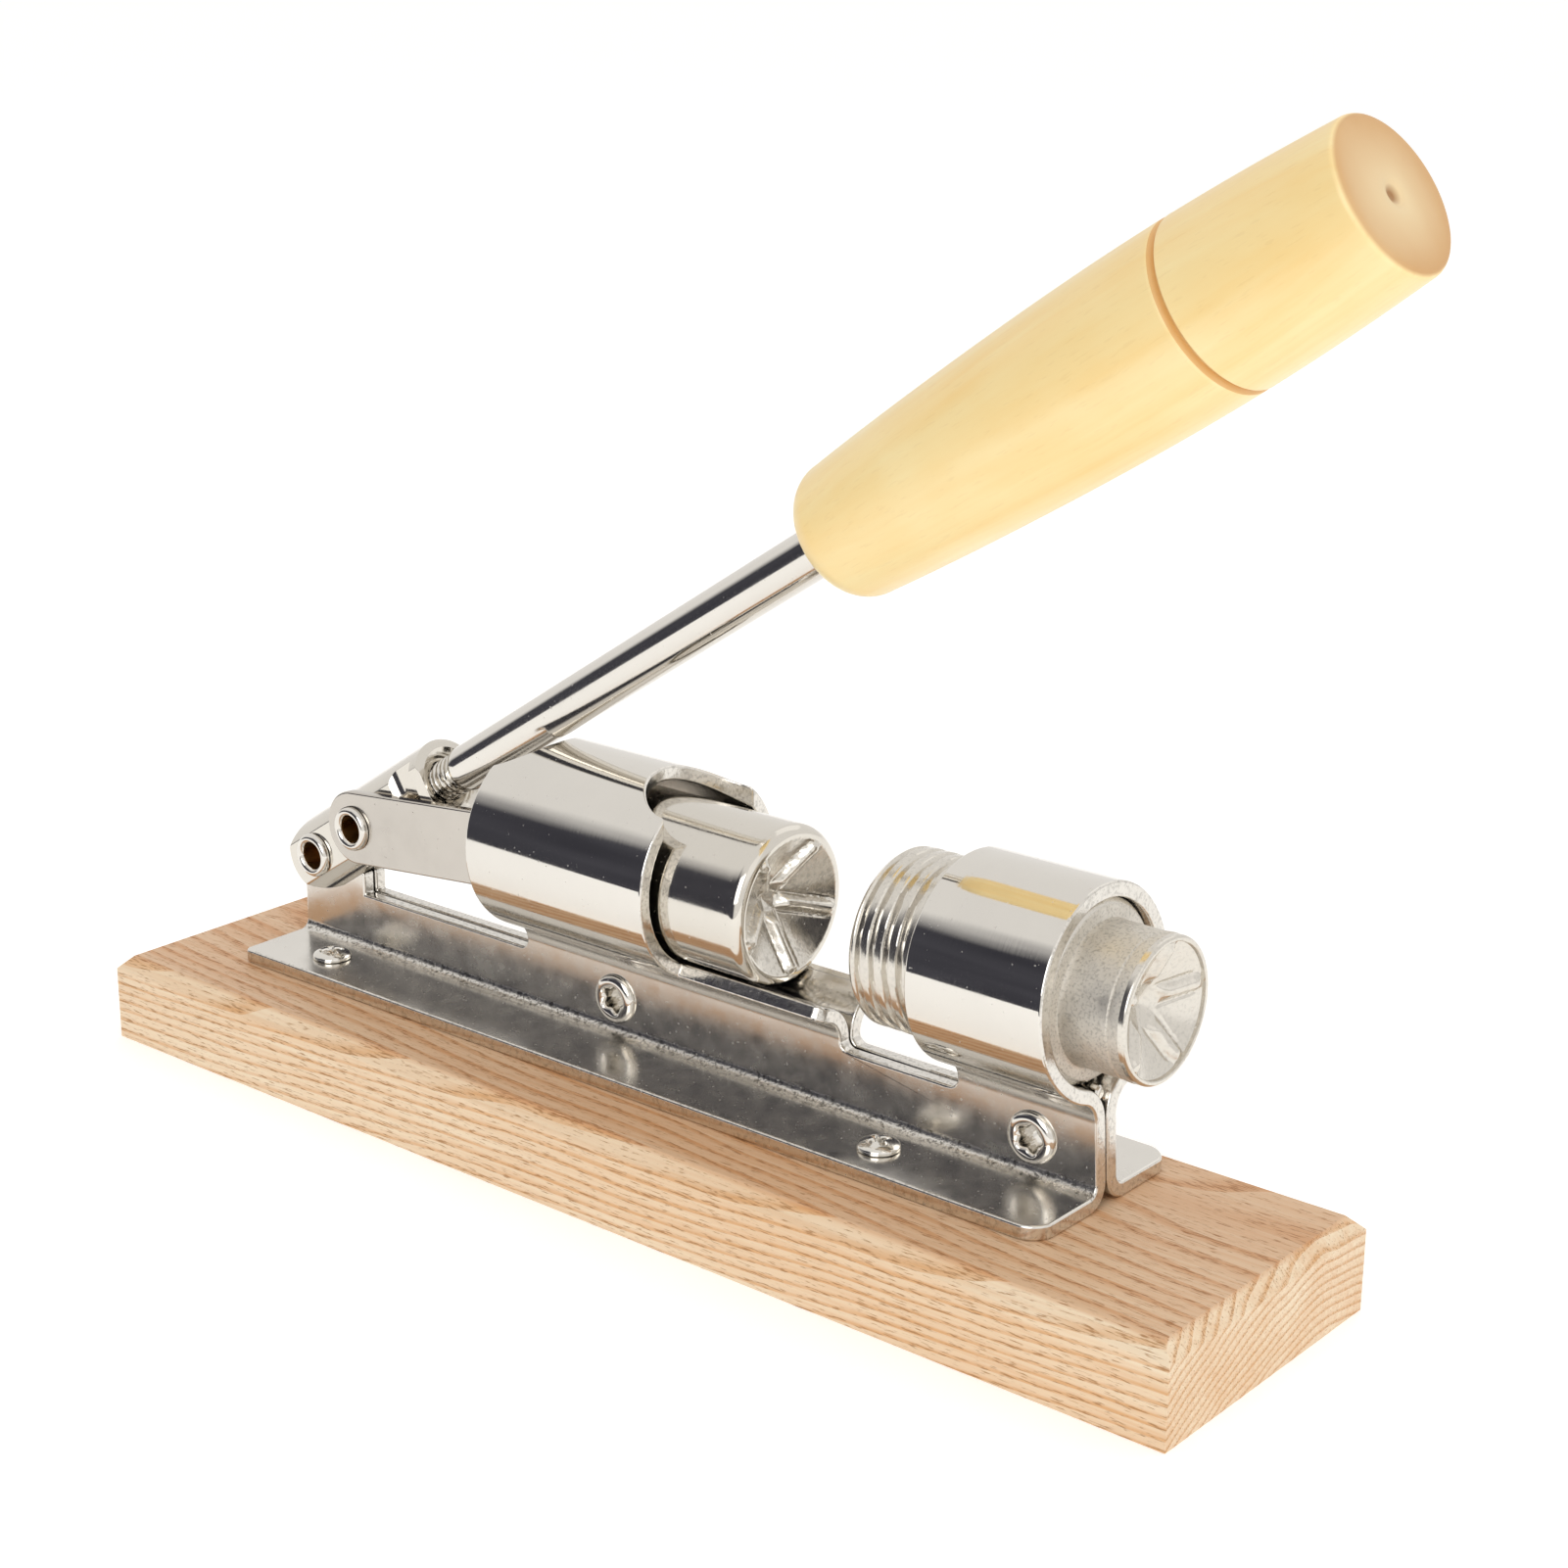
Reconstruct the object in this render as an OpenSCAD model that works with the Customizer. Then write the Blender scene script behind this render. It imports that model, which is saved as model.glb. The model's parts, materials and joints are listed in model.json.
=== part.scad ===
// Desktop lever nutcracker, millimetres.
// Origin at the centre of the board's underside, +X towards the anvil, +Z up.
// A folded steel frame stands on a wooden board. The lever turns on the frame's rear
// ear, two flat links push a ram through the rear barrel, and a screwed anvil sits
// in the front barrel. The lever is drawn fully forward, with its rod on the barrel.

/* [Base board] */
// Length of the wooden board
base_l = 230; // [200:1:260]
// Width of the board
base_w = 55; // [46:1:80]
// Height of the board
base_h = 16; // [14:0.5:26]
// Width of the eased top edges
base_edge = 2.4; // [0.6:0.2:4]

/* [Frame sheet] */
// Thickness of the folded sheet
sheet_t = 2.5; // [2.2:0.1:2.6]
// Gap between the two webs
web_gap = 0.4; // [0.2:0.1:1]
// How far the frame sits behind the board's centre line
frame_shift = 4.5; // [0:0.5:6]
// Rear end of the frame, measured back from the board's centre
frame_rear = 95; // [92:0.5:98]
// Front end of the frame, measured at the board
frame_front = 83.4; // [82:0.2:86]
// Backward lean of the frame's front edge
front_lean = 3; // [0:0.5:4]
// Width of each flange from the middle of the frame
flange_w = 18.2; // [16:0.2:20]
// Corner radius of the flanges
flange_corner = 4.5; // [1:0.5:5]
// Outside radius of the fold between web and flange
fold_r = 1.8; // [1:0.1:2.4]
// Radius of the neck between web and barrel
neck_r = 4.1; // [3:0.1:5]
// Height of the notch floors above the board
notch_h = 12.6; // [11:0.2:13]
// Radius in the lower corners of the notches
notch_r = 1.6; // [0.4:0.2:1.8]

/* [Barrels] */
// Bore of both barrels
bore_d = 29.2; // [28.8:0.2:30]
// Height of the bore axis above the board
axis_h = 34.1; // [33.6:0.1:35]
// Rear end of the rear barrel
barrel_rear = -36.8; // [-39:0.2:-34]
// Length of the rear barrel
rear_barrel_l = 40.2; // [38:0.1:42]
// Length of the front barrel, from its rear edge to the frame's front end
front_barrel_l = 26.8; // [25:0.2:28]
// Half angle of the cradle that joins the barrels
cradle_angle = 29; // [26:1:31]
// Length of the cradle in front of the rear barrel
cradle_l = 30; // [27:0.5:32]
// Radius of the cradle's front corners
cradle_r = 2.4; // [1:0.2:3]
// Radius of the round cut-outs in the top of the rear barrel
scallop_r = 11; // [9:0.5:12]
// Depth of the cut-out for the nut
nut_scallop = 10.2; // [7:0.2:11]
// Gap between the rod and the edge of the cut-out that it lies in
rod_room = 0.3; // [0.2:0.05:0.8]

/* [Lever] */
// Slope of the lever at rest
lever_angle = 33; // [32.5:0.1:34]
// Pivot, measured forward from the frame's rear end
pivot_in = 7.5; // [7:0.1:8.5]
// Height of the pivot above the board
pivot_h = 19.4; // [19:0.1:19.6]
// Distance from the pivot to the link pin
crank_l = 15.7; // [15:0.1:16.4]
// Diameter of the yoke
yoke_d = 15; // [14.4:0.1:15.6]
// Width of the yoke over its side flats
yoke_flat = 13; // [12.4:0.1:13.6]
// Front face of the yoke, measured from the pivot
yoke_front = 36; // [34:0.5:37.5]
// Depth of the threaded hole in the yoke's front face
stud_hole = 12; // [11:0.5:14]
// Length of thread that is screwed into the yoke
stud_grip = 10; // [6:0.5:10.5]
// Diameter of the rod
rod_d = 8.3; // [7.6:0.1:8.6]
// Shoulder of the rod, measured from the pivot
rod_start = 40; // [38.5:0.5:42]
// Major diameter of the rod's thread
stud_d = 7.4; // [6.6:0.1:7.4]

/* [Handle] */
// Rod end of the handle, measured from the pivot
handle_start = 139; // [125:1:150]
// Length of the handle
handle_l = 108.4; // [100:0.2:130]
// Largest diameter of the handle
handle_d = 27.4; // [24.2:0.2:32]
// Diameter of the handle near the rod
handle_neck_d = 22.4; // [18:0.2:23]
// Diameter of the handle's flat end
handle_end_d = 23.8; // [20:0.2:24]
// Distance of the widest place from the rod end
handle_swell = 69; // [60:1:76]
// Distance of the turned groove from the rod end
handle_groove = 78.4; // [70:0.2:90]

/* [Links and pins] */
// Distance between the two pins of a link
link_l = 54; // [53:0.2:55]
// Width of a link
link_w = 13.5; // [12:0.1:14]
// Thickness of a link
link_t = 2; // [1.5:0.1:2.4]
// Shank of the tubular pivot rivets
rivet_d = 5.6; // [5:0.1:6]
// Hole down the tubular rivets
rivet_hole = 4.4; // [3.4:0.1:4.5]
// Head of the tubular pivot rivets
rivet_head = 8.2; // [7.6:0.1:9]
// Height of every rolled rivet head
head_t = 1.2; // [0.9:0.1:1.4]
// Head of the rivets that hold the webs together
web_rivet_head = 8.8; // [8.4:0.2:10]
// Height of the web rivets above the board
web_rivet_h = 8.6; // [8:0.1:9]
// Places of the web rivets along the board
web_rivet_x = [-15.7, 71];
// Diameter of the pin through the ram
ram_pin_d = 5; // [4:0.1:5.4]

/* [Ram] */
// Diameter of the ram
ram_d = 27.1; // [26.6:0.1:27.5]
// Distance from the ram pin forward to the ram's front rim
ram_reach = 41.5; // [40:0.1:44]
// Distance from the ram pin back to the end of the ram's tongue
tongue_back = 7; // [6:0.1:8]
// Room between the round ends of the links and the shoulder of the ram
link_room = 3.25; // [2.5:0.05:4]
// Depth of the cup in the ram
ram_cup = 6.5; // [4:0.1:8]
// Number of ribs in each cup
cup_ribs = 5; // [4:1:7]
// Width of a cup rib
rib_w = 1.9; // [1.2:0.1:2.6]

/* [Anvil] */
// Rear rim of the anvil, facing the ram
anvil_rear = 43.5; // [40:0.1:45]
// Length of the threaded part
thread_l = 37.1; // [34:0.1:37.5]
// Pitch of the thread
thread_pitch = 2.7; // [2:0.1:3]
// Depth of the thread
thread_depth = 0.9; // [0.6:0.1:1.3]
// Front rim of the anvil's small end
anvil_front = 92.3; // [90:0.1:96]
// Diameter of the small end
anvil_d = 22.8; // [21:0.1:23.6]
// Depth of the cup in the small end
anvil_cup = 5.6; // [3.5:0.1:7]
// Diameter of the packing rod in the neck of the front barrel
neck_rod_d = 2.4; // [1.8:0.1:2.4]

/* [Flange screws] */
// Diameter of a screw head
screw_head = 7; // [6:0.1:8]
// Height of a screw head
screw_head_t = 1.7; // [1.2:0.1:2.2]
// Diameter of a screw shank
screw_d = 3.2; // [2.6:0.1:3.6]
// Length of a screw under its head
screw_l = 14; // [10:0.5:16]
// Distance of the screws from the middle of the frame
screw_y = 10.6; // [10:0.1:11]
// Places of the screws along the board
screw_x = [-79.2, 47.6];

/* [Clearances] */
// Radial clearance of pins in the parts that turn on them
run_gap = 0.08; // [0.04:0.01:0.1]
// Radial clearance of the anvil in its barrel
slide_gap = 0.08; // [0.04:0.01:0.1]
// Gap under the ram where it lies low in its barrel
ram_gap = 0.3; // [0.1:0.05:0.4]
// Gap between flat faces that slide past each other
side_gap = 0.1; // [0.05:0.05:0.2]
// Room for the ram pin in the ram's window, along the ram
pin_room_x = 1.1; // [0.9:0.1:2]
// Room for the ram pin in the ram's window, up and down
pin_room_z = 3.5; // [3.3:0.1:4.5]

/* [Hidden] */
$fn = 96;
eps = 0.01;
far = 400;
plated = "#c9c5bd";
cast = "#b0a89c";
ash = "#d7b184";
lacquered = "#edcf92";

bore_r = bore_d / 2;
barrel_r = bore_r + sheet_t;
axis_z = base_h + axis_h;
web_out = web_gap / 2 + sheet_t;
neck_y = web_out + neck_r;
neck_drop = sqrt(pow(barrel_r + neck_r, 2) - pow(neck_y, 2));
flange_z = base_h + sheet_t;
notch_z = base_h + notch_h;
barrel_nose = barrel_rear + rear_barrel_l;
rod_rise = axis_z + barrel_r - base_h - pivot_h + (rod_d / 2 + rod_room) / cos(lever_angle);
rod_scallop = rod_rise / tan(lever_angle) + pivot_in - frame_rear - barrel_rear;
front_barrel_rear = frame_front - front_barrel_l;
pivot_x = pivot_in - frame_rear;
pivot_z = base_h + pivot_h;
ear_r = rivet_d / 2 + 2.5;
ear_l = 16.4;
link_x = pivot_x + crank_l * cos(lever_angle);
link_z = pivot_z + crank_l * sin(lever_angle);
ram_r = ram_d / 2;
ram_drop = (bore_r - ram_r - ram_gap) * (barrel_r + neck_r) / neck_drop;
ram_z = axis_z - ram_drop;
link_rise = asin((ram_z - link_z) / link_l);
ram_pin_x = link_x + link_l * cos(link_rise);
ram_face = ram_pin_x + ram_reach;
ram_l = ram_reach - link_w / 2 - link_room;
tongue_l = ram_reach - ram_l + tongue_back;
tongue_half = yoke_flat / 2 - side_gap;
link_in = yoke_flat / 2 + side_gap;
link_out = link_in + link_t;
yoke_r = yoke_d / 2;
slot_half = web_out + side_gap;
slot_end = 8.5;
web_rivet_d = 5;
handle_bore = 24;

// Body of a profile drawn in Y and Z, run along X from x0 for a length len.
module along_x(x0, len) {
  translate([x0, 0, 0])
    rotate([90, 0, 90])
      linear_extrude(len) children();
}

// Body of an outline drawn in X and Z, with half its thickness on each side of y = 0.
module across_y(half) {
  translate([0, half, 0])
    rotate([90, 0, 0])
      linear_extrude(2 * half) children();
}

// Plain cylinder along Y, centred on a point.
module y_pin(x, z, d, half) {
  translate([x, half, z])
    rotate([90, 0, 0])
      cylinder(h = 2 * half, d = d);
}

// Places a child in the lever's own frame: +X along the rod, origin on the pivot.
module on_lever() {
  translate([pivot_x, frame_shift, pivot_z])
    rotate([0, -lever_angle, 0]) children();
}

// Middle plane of the frame.
module on_frame() {
  translate([0, frame_shift, 0]) children();
}

// Board with eased top edges and pilot holes for the four screws.
module base_board() {
  color(ash)
    difference() {
      translate([-base_l / 2, -base_w / 2, 0])
        cube([base_l, base_w, base_h]);
      for (s = [-1, 1]) {
        translate([0, s * base_w / 2, base_h])
          rotate([45, 0, 0])
            cube([base_l + 2, base_edge * sqrt(2), base_edge * sqrt(2)], center = true);
        translate([s * base_l / 2, 0, base_h])
          rotate([0, 45, 0])
            cube([base_edge * sqrt(2), base_w + 2, base_edge * sqrt(2)], center = true);
      }
      on_frame()
        each_screw()
          translate([0, 0, base_h + eps - screw_l])
            cylinder(h = screw_l, d = screw_d + 2 * run_gap);
    }
}

module each_screw() {
  for (x = screw_x, s = [-1, 1])
    translate([x, s * screw_y, 0]) children();
}

// Outer outline of the folded section, filled: barrel, neck, webs and flanges.
module section_outside() {
  translate([0, axis_z]) circle(barrel_r);
  difference() {
    polygon([[0, axis_z], [-neck_y, axis_z - neck_drop], [neck_y, axis_z - neck_drop]]);
    neck_circles(neck_r);
  }
  translate([-web_out, base_h])
    square([2 * web_out, axis_h - neck_drop + eps]);
  translate([-flange_w, base_h])
    square([2 * flange_w, sheet_t]);
  difference() {
    translate([-web_out - fold_r, base_h])
      square([2 * (web_out + fold_r), sheet_t + fold_r]);
    fold_circles(fold_r);
  }
}

// Inside of the folded section: bore, neck opening, gap and the round of each fold.
module section_inside() {
  translate([0, axis_z]) circle(bore_r);
  difference() {
    polygon([[0, axis_z], [-neck_y, axis_z - neck_drop], [neck_y, axis_z - neck_drop]]);
    neck_circles(neck_r + sheet_t);
  }
  translate([-web_gap / 2, base_h - 1])
    square([web_gap, axis_h - neck_drop + 1 + eps]);
  difference() {
    translate([-web_out - fold_r, base_h - 1])
      square([2 * (web_out + fold_r), sheet_t + fold_r + 1]);
    fold_circles(fold_r + sheet_t);
    for (s = [-1, 1])
      translate([s * (web_out + fold_r), base_h - 2])
        square([eps, 4], center = true);
  }
}

module neck_circles(r) {
  for (s = [-1, 1])
    translate([s * neck_y, axis_z - neck_drop]) circle(r);
}

module fold_circles(r) {
  for (s = [-1, 1])
    translate([s * (web_out + fold_r), flange_z + fold_r]) circle(r);
}

module folded_section() {
  difference() {
    section_outside();
    section_inside();
  }
}

// Rear ear that carries the pivot: round head on a foot with a hollowed front edge.
module ear_outline() {
  difference() {
    union() {
      translate([pivot_x, pivot_z]) circle(ear_r);
      polygon([
        [-frame_rear, flange_z + fold_r],
        [-frame_rear, pivot_z - ear_r - 2],
        [pivot_x - ear_r * cos(20), pivot_z + ear_r * sin(20)],
        [pivot_x + ear_r * cos(20), pivot_z + ear_r * sin(20)],
        [ear_l - frame_rear, pivot_z - 3],
        [ear_l - frame_rear, notch_z],
        [ear_l - frame_rear + 4, notch_z - 1],
        [ear_l - frame_rear + 4, flange_z + fold_r]
      ]);
    }
    translate([ear_l - frame_rear + 4, notch_z + 4]) circle(4);
  }
}

// What is cut out of the long fold, drawn from the side: everything behind the rear
// barrel above the notch floor, and the notch before the front barrel.
module side_cuts() {
  notch(-frame_rear - far, barrel_rear);
  notch(barrel_nose + cradle_l, front_barrel_rear);
}

// Notch between two places along the frame, open above, with round lower corners.
module notch(x0, x1) {
  translate([x0, notch_z + notch_r])
    square([x1 - x0, far]);
  translate([x0 + notch_r, notch_z])
    square([x1 - x0 - 2 * notch_r, notch_r + eps]);
  for (x = [x0 + notch_r, x1 - notch_r])
    translate([x, notch_z + notch_r]) circle(notch_r);
}

// What lies above the cradle between the two barrels.
module cradle_cut() {
  reach = barrel_r + 4;
  along_x(barrel_nose, front_barrel_rear - barrel_nose)
    polygon([
      [0, axis_z],
      [-reach * sin(cradle_angle), axis_z - reach * cos(cradle_angle)],
      [-2 * reach, axis_z - reach * cos(cradle_angle)],
      [-2 * reach, axis_z + reach],
      [2 * reach, axis_z + reach],
      [2 * reach, axis_z - reach * cos(cradle_angle)],
      [reach * sin(cradle_angle), axis_z - reach * cos(cradle_angle)]
    ]);
}

// Takes the front corners off the cradle, square to the sheet.
module cradle_corners() {
  step_x = barrel_nose + cradle_l;
  for (s = [-1, 1])
    on_barrel()
      rotate([s * cradle_angle, 0, 0])
        difference() {
          translate([step_x - cradle_r, s > 0 ? -cradle_r : -eps, -barrel_r - 2])
            cube([cradle_r + eps, cradle_r + eps, sheet_t + 4]);
          translate([step_x - cradle_r, -s * cradle_r, -barrel_r - 3])
            cylinder(h = sheet_t + 6, r = cradle_r);
        }
}

// Bore axis of the two barrels.
module on_barrel() {
  translate([0, 0, axis_z]) children();
}

// Cuts the frame's front end on a lean.
module front_cut() {
  translate([frame_front, 0, base_h])
    rotate([0, -front_lean, 0])
      translate([0, -far / 8, -far / 16])
        cube([far / 8, far / 4, far / 2]);
}

// Round cut-outs in the top of the rear barrel: one for the nut, one for the rod.
module scallops() {
  translate([barrel_nose - nut_scallop + scallop_r, 0, axis_z])
    cylinder(h = 2 * barrel_r, r = scallop_r);
  translate([barrel_rear + rod_scallop - scallop_r, 0, axis_z])
    cylinder(h = 2 * barrel_r, r = scallop_r);
}

module flange_corners() {
  for (x = [-frame_rear, frame_front], s = [-1, 1]) {
    r = x < 0 ? flange_corner / 3 : flange_corner;
    inward = x < 0 ? 1 : -1;
    difference() {
      translate([x, s * flange_w, base_h + sheet_t / 2])
        cube([2 * r, 2 * r, sheet_t + 1], center = true);
      translate([x + inward * r, s * (flange_w - r), base_h - 1])
        cylinder(h = sheet_t + 2, r = r);
    }
  }
}

module frame() {
  color(plated)
    on_frame()
      difference() {
        union() {
          difference() {
            along_x(-frame_rear, frame_rear + frame_front) folded_section();
            across_y(far / 4) side_cuts();
            cradle_cut();
            cradle_corners();
            scallops();
            front_cut();
          }
          intersection() {
            across_y(web_out) ear_outline();
            along_x(-frame_rear, 3 * ear_l)
              for (s = [-1, 1])
                translate([s * (web_gap + sheet_t) / 2 - sheet_t / 2, 0])
                  square([sheet_t, far]);
          }
        }
        flange_corners();
        y_pin(pivot_x, pivot_z, rivet_d + 2 * run_gap, flange_w);
        for (x = web_rivet_x)
          y_pin(x, base_h + web_rivet_h, web_rivet_d + 2 * run_gap, flange_w);
        each_screw()
          cylinder(h = far / 8, d = screw_d + 1);
      }
}

// Pan head wood screw with a cross recess.
module flange_screw(i, s) {
  color(plated)
    on_frame()
      translate([screw_x[i], s * screw_y, flange_z])
        difference() {
          union() {
            rotate_extrude()
              intersection() {
                translate([0, screw_head_t - screw_head])
                  circle(screw_head);
                square([screw_head / 2, screw_head_t]);
              }
            translate([0, 0, -screw_l + sheet_t])
              cylinder(h = screw_l - sheet_t + eps, d = screw_d);
            translate([0, 0, -screw_l + sheet_t])
              mirror([0, 0, 1])
                cylinder(h = screw_d / 4, r1 = screw_d / 2, r2 = screw_d / 4);
          }
          for (a = [20, 110])
            rotate([0, 0, a])
              translate([0, 0, screw_head_t])
                cube([screw_head * 0.58, 0.9, 2], center = true);
        }
}

module screw_rear_near() { flange_screw(0, -1); }
module screw_rear_far() { flange_screw(0, 1); }
module screw_front_near() { flange_screw(1, -1); }
module screw_front_far() { flange_screw(1, 1); }

// Tubular rivet along Y with a rolled head at each end, half is half its grip.
module tube_rivet(half, shank_d, hole_d, head_d) {
  rim = head_t / 2;
  rotate([90, 0, 0])
    rotate_extrude() {
      translate([hole_d / 2, -half - rim])
        square([(shank_d - hole_d) / 2, 2 * half + 2 * rim]);
      for (s = [-1, 1]) {
        for (r = [hole_d / 2 + rim, head_d / 2 - rim])
          translate([r, s * (half + rim)]) circle(rim);
        translate([hole_d / 2 + rim, s * (half + rim) - rim])
          square([head_d / 2 - hole_d / 2 - 2 * rim, 2 * rim]);
      }
    }
}

// Rivet through both webs. Its tube is split and spread in a star.
module web_rivet(x) {
  hole = web_rivet_d - 0.8;
  color(plated)
    on_frame()
      translate([x, 0, base_h + web_rivet_h])
        difference() {
          tube_rivet(web_out, web_rivet_d, hole, web_rivet_head);
          for (s = [-1, 1], k = [0 : 4])
            rotate([0, 90 + 72 * k, 0])
              translate([hole / 2 + 0.5, s * (web_out + head_t + 0.5), 0])
                rotate([90, 0, 0])
                  cylinder(h = 2, d = 1.5, center = true);
        }
}

module web_rivet_rear() { web_rivet(web_rivet_x[0]); }
module web_rivet_front() { web_rivet(web_rivet_x[1]); }

// Round packing rod that lies in the neck of the front barrel, under the anvil.
module neck_rod() {
  reach = neck_r + sheet_t + neck_rod_d / 2 + slide_gap;
  drop = sqrt(reach * reach - neck_y * neck_y);
  color(plated)
    on_frame()
      translate([front_barrel_rear + 1.5, 0, axis_z - neck_drop + drop])
        rotate([0, 90, 0])
          cylinder(h = front_barrel_l - 3.6, d = neck_rod_d);
}

module pivot_rivet() {
  color(plated)
    on_frame()
      translate([pivot_x, 0, pivot_z])
        tube_rivet(yoke_flat / 2 + side_gap, rivet_d, rivet_hole, rivet_head);
}

// Turned yoke: side flats and a slot form the fork, a pocket on each side sets off the
// collar at the front, and the face of the collar is dished round the thread.
module yoke() {
  pocket_half = yoke_flat / 2 - 1.3;
  pocket_front = yoke_front - 2.6;
  dish_r = yoke_r - 1.6;
  color(plated)
    on_lever()
      difference() {
        rotate([0, 90, 0])
          translate([0, 0, 0.5 - yoke_r])
            rotate_extrude()
              polygon([
                [0, 0], [yoke_r, 0], [yoke_r, yoke_front + yoke_r - 1],
                [yoke_r - 0.5, yoke_front + yoke_r - 0.5], [0, yoke_front + yoke_r - 0.5]
              ]);
        // round rear end, seen from the side
        difference() {
          translate([-2 * yoke_r, -yoke_d, -yoke_d])
            cube([2 * yoke_r, 2 * yoke_d, 2 * yoke_d]);
          y_pin(0, 0, yoke_d - 1, yoke_d + 1);
        }
        for (s = [-1, 1]) {
          // side flats for the links
          translate([-yoke_d, s > 0 ? yoke_flat / 2 : -yoke_flat / 2 - yoke_d, -yoke_d])
            cube([yoke_d + yoke_front + 1, yoke_d, 2 * yoke_d]);
          // pocket behind the collar, with a round rear end
          translate([pocket_front - 4, s > 0 ? pocket_half : -pocket_half - yoke_d, -yoke_d])
            cube([4, yoke_d, 2 * yoke_d]);
          translate([pocket_front - 4, s * (pocket_half + 3), -yoke_d])
            cylinder(h = 2 * yoke_d, r = 3);
        }
        // slot for the ear
        translate([-yoke_d, -slot_half, -yoke_d])
          cube([yoke_d + slot_end, 2 * slot_half, 2 * yoke_d]);
        y_pin(0, 0, rivet_d + 2 * run_gap, yoke_d);
        y_pin(crank_l, 0, rivet_d + 2 * run_gap, yoke_d);
        rotate([0, 90, 0]) {
          translate([0, 0, yoke_front - stud_hole])
            cylinder(h = stud_hole, d = stud_d + 2 * run_gap);
          translate([0, 0, yoke_front - 1.4])
            cylinder(h = 1.4 + eps, r1 = stud_d / 2 + run_gap, r2 = dish_r);
        }
      }
}

// Rod with a threaded stud in the yoke and a plain end glued into the handle.
module lever_rod() {
  root = stud_d / 2 - 0.6;
  pitch = 1.25;
  stud_l = rod_start - yoke_front + stud_grip;
  turns = floor(stud_l / pitch);
  color(plated)
    on_lever()
      translate([rod_start - stud_l, 0, 0])
        rotate([0, 90, 0])
          rotate_extrude()
            polygon(concat(
              [[0, 0], [root, 0]],
              [for (i = [0 : turns - 1], k = [0.15, 0.45, 0.6, 0.95])
                [k > 0.3 && k < 0.8 ? stud_d / 2 : root, (i + k) * pitch]],
              [
                [root, stud_l], [rod_d / 2 - 0.5, stud_l], [rod_d / 2, stud_l + 0.5],
                [rod_d / 2, stud_l + handle_start + handle_bore - rod_start],
                [0, stud_l + handle_start + handle_bore - rod_start]
              ]
            ));
}

// Radius at s on a bow that is widest at s_top and has narrowed to low at s_low.
function bow(s, s_low, s_top, top, low) =
  let(w = abs(s_top - s_low), d = top - low, r = (w * w + d * d) / (2 * d))
    top - r + sqrt(r * r - (s_top - s) * (s_top - s));

// Turned wooden handle: rounded nose, long swell, groove and a flat end.
module handle() {
  nose = 5;
  max_r = handle_d / 2;
  neck = handle_neck_d / 2;
  end_r = handle_end_d / 2;
  ease = 1.4;
  tail = handle_l - ease;
  color(lacquered)
    on_lever()
      translate([handle_start, 0, 0])
        rotate([0, 90, 0])
          difference() {
            rotate_extrude()
              polygon(concat(
                [[0, 0]],
                [for (a = [0 : 15 : 75]) [neck - nose + nose * sin(a), nose - nose * cos(a)]],
                [for (i = [0 : 16])
                  let(h = nose + (handle_swell - nose) * i / 16)
                    [bow(h, nose, handle_swell, max_r, neck), h]],
                [for (i = [1 : 9])
                  let(h = handle_swell + (tail - handle_swell) * i / 10)
                    [bow(h, tail, handle_swell, max_r, end_r), h]],
                [for (a = [0 : 15 : 90])
                  [end_r - ease + ease * cos(a), tail + ease * sin(a)]],
                [[0, handle_l]]
              ));
            // turned groove
            translate([0, 0, handle_groove])
              rotate_extrude()
                polygon([
                  [max_r - 1.1, 0], [max_r + 1, -1.3], [max_r + 1, 1.3]
                ]);
            translate([0, 0, -1])
              cylinder(h = handle_bore + 1 + 2, d = rod_d + 2 * run_gap);
            // lathe centre in the flat end
            translate([0, 0, handle_l - 0.9])
              cylinder(h = 2, r1 = 0.2, r2 = 2.4);
          }
}

module link_rivet() {
  color(plated)
    on_frame()
      translate([link_x, 0, link_z])
        tube_rivet(link_out + side_gap, rivet_d, rivet_hole, rivet_head);
}

// Flat link from the yoke to the ram, on side s of the frame.
module link(s) {
  color(plated)
    on_frame()
      translate([link_x, s * (link_in + link_out) / 2, link_z])
        rotate([0, -link_rise, 0])
          difference() {
            union() {
              y_pin(0, 0, link_w, link_t / 2);
              y_pin(link_l, 0, link_w, link_t / 2);
              translate([0, -link_t / 2, -link_w / 2])
                cube([link_l, link_t, link_w]);
            }
            y_pin(0, 0, rivet_d + 2 * run_gap, link_t);
            y_pin(link_l, 0, ram_pin_d + 2 * run_gap, link_t);
          }
}

module link_near() { link(-1); }
module link_far() { link(1); }

// Solid pin through the front ends of both links, with low heads inside the bore.
module ram_pin() {
  color(plated)
    on_frame() {
      y_pin(ram_pin_x, ram_z, ram_pin_d, link_out + side_gap);
      for (s = [-1, 1])
        translate([ram_pin_x, s * (link_out + side_gap + 0.4), ram_z])
          rotate([90, 0, 0])
            cylinder(h = 0.8, d = ram_pin_d + 2, center = true);
    }
}

// Cone-shaped cup with ribs, cut from a face at height 0 with the cup below it.
module cup_cut(rim_r, depth) {
  difference() {
    translate([0, 0, -depth])
      cylinder(h = depth + eps, r1 = 0.4, r2 = rim_r);
    for (k = [0 : cup_ribs - 1])
      rotate([0, 0, 56 + k * 360 / cup_ribs])
        cup_rib(rim_r, depth);
  }
}

// One rib on the cup's cone: a rounded bar that lies along the slope.
module cup_rib(rim_r, depth) {
  slope = atan(depth / rim_r);
  run = norm([rim_r, depth]);
  translate([0, 0, -depth])
    rotate([0, -slope, 0])
      translate([run * 0.26, 0, -0.15])
        union() {
          rotate([0, 90, 0])
            cylinder(h = run * 0.9, d = rib_w);
          sphere(d = rib_w);
        }
}

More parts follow.
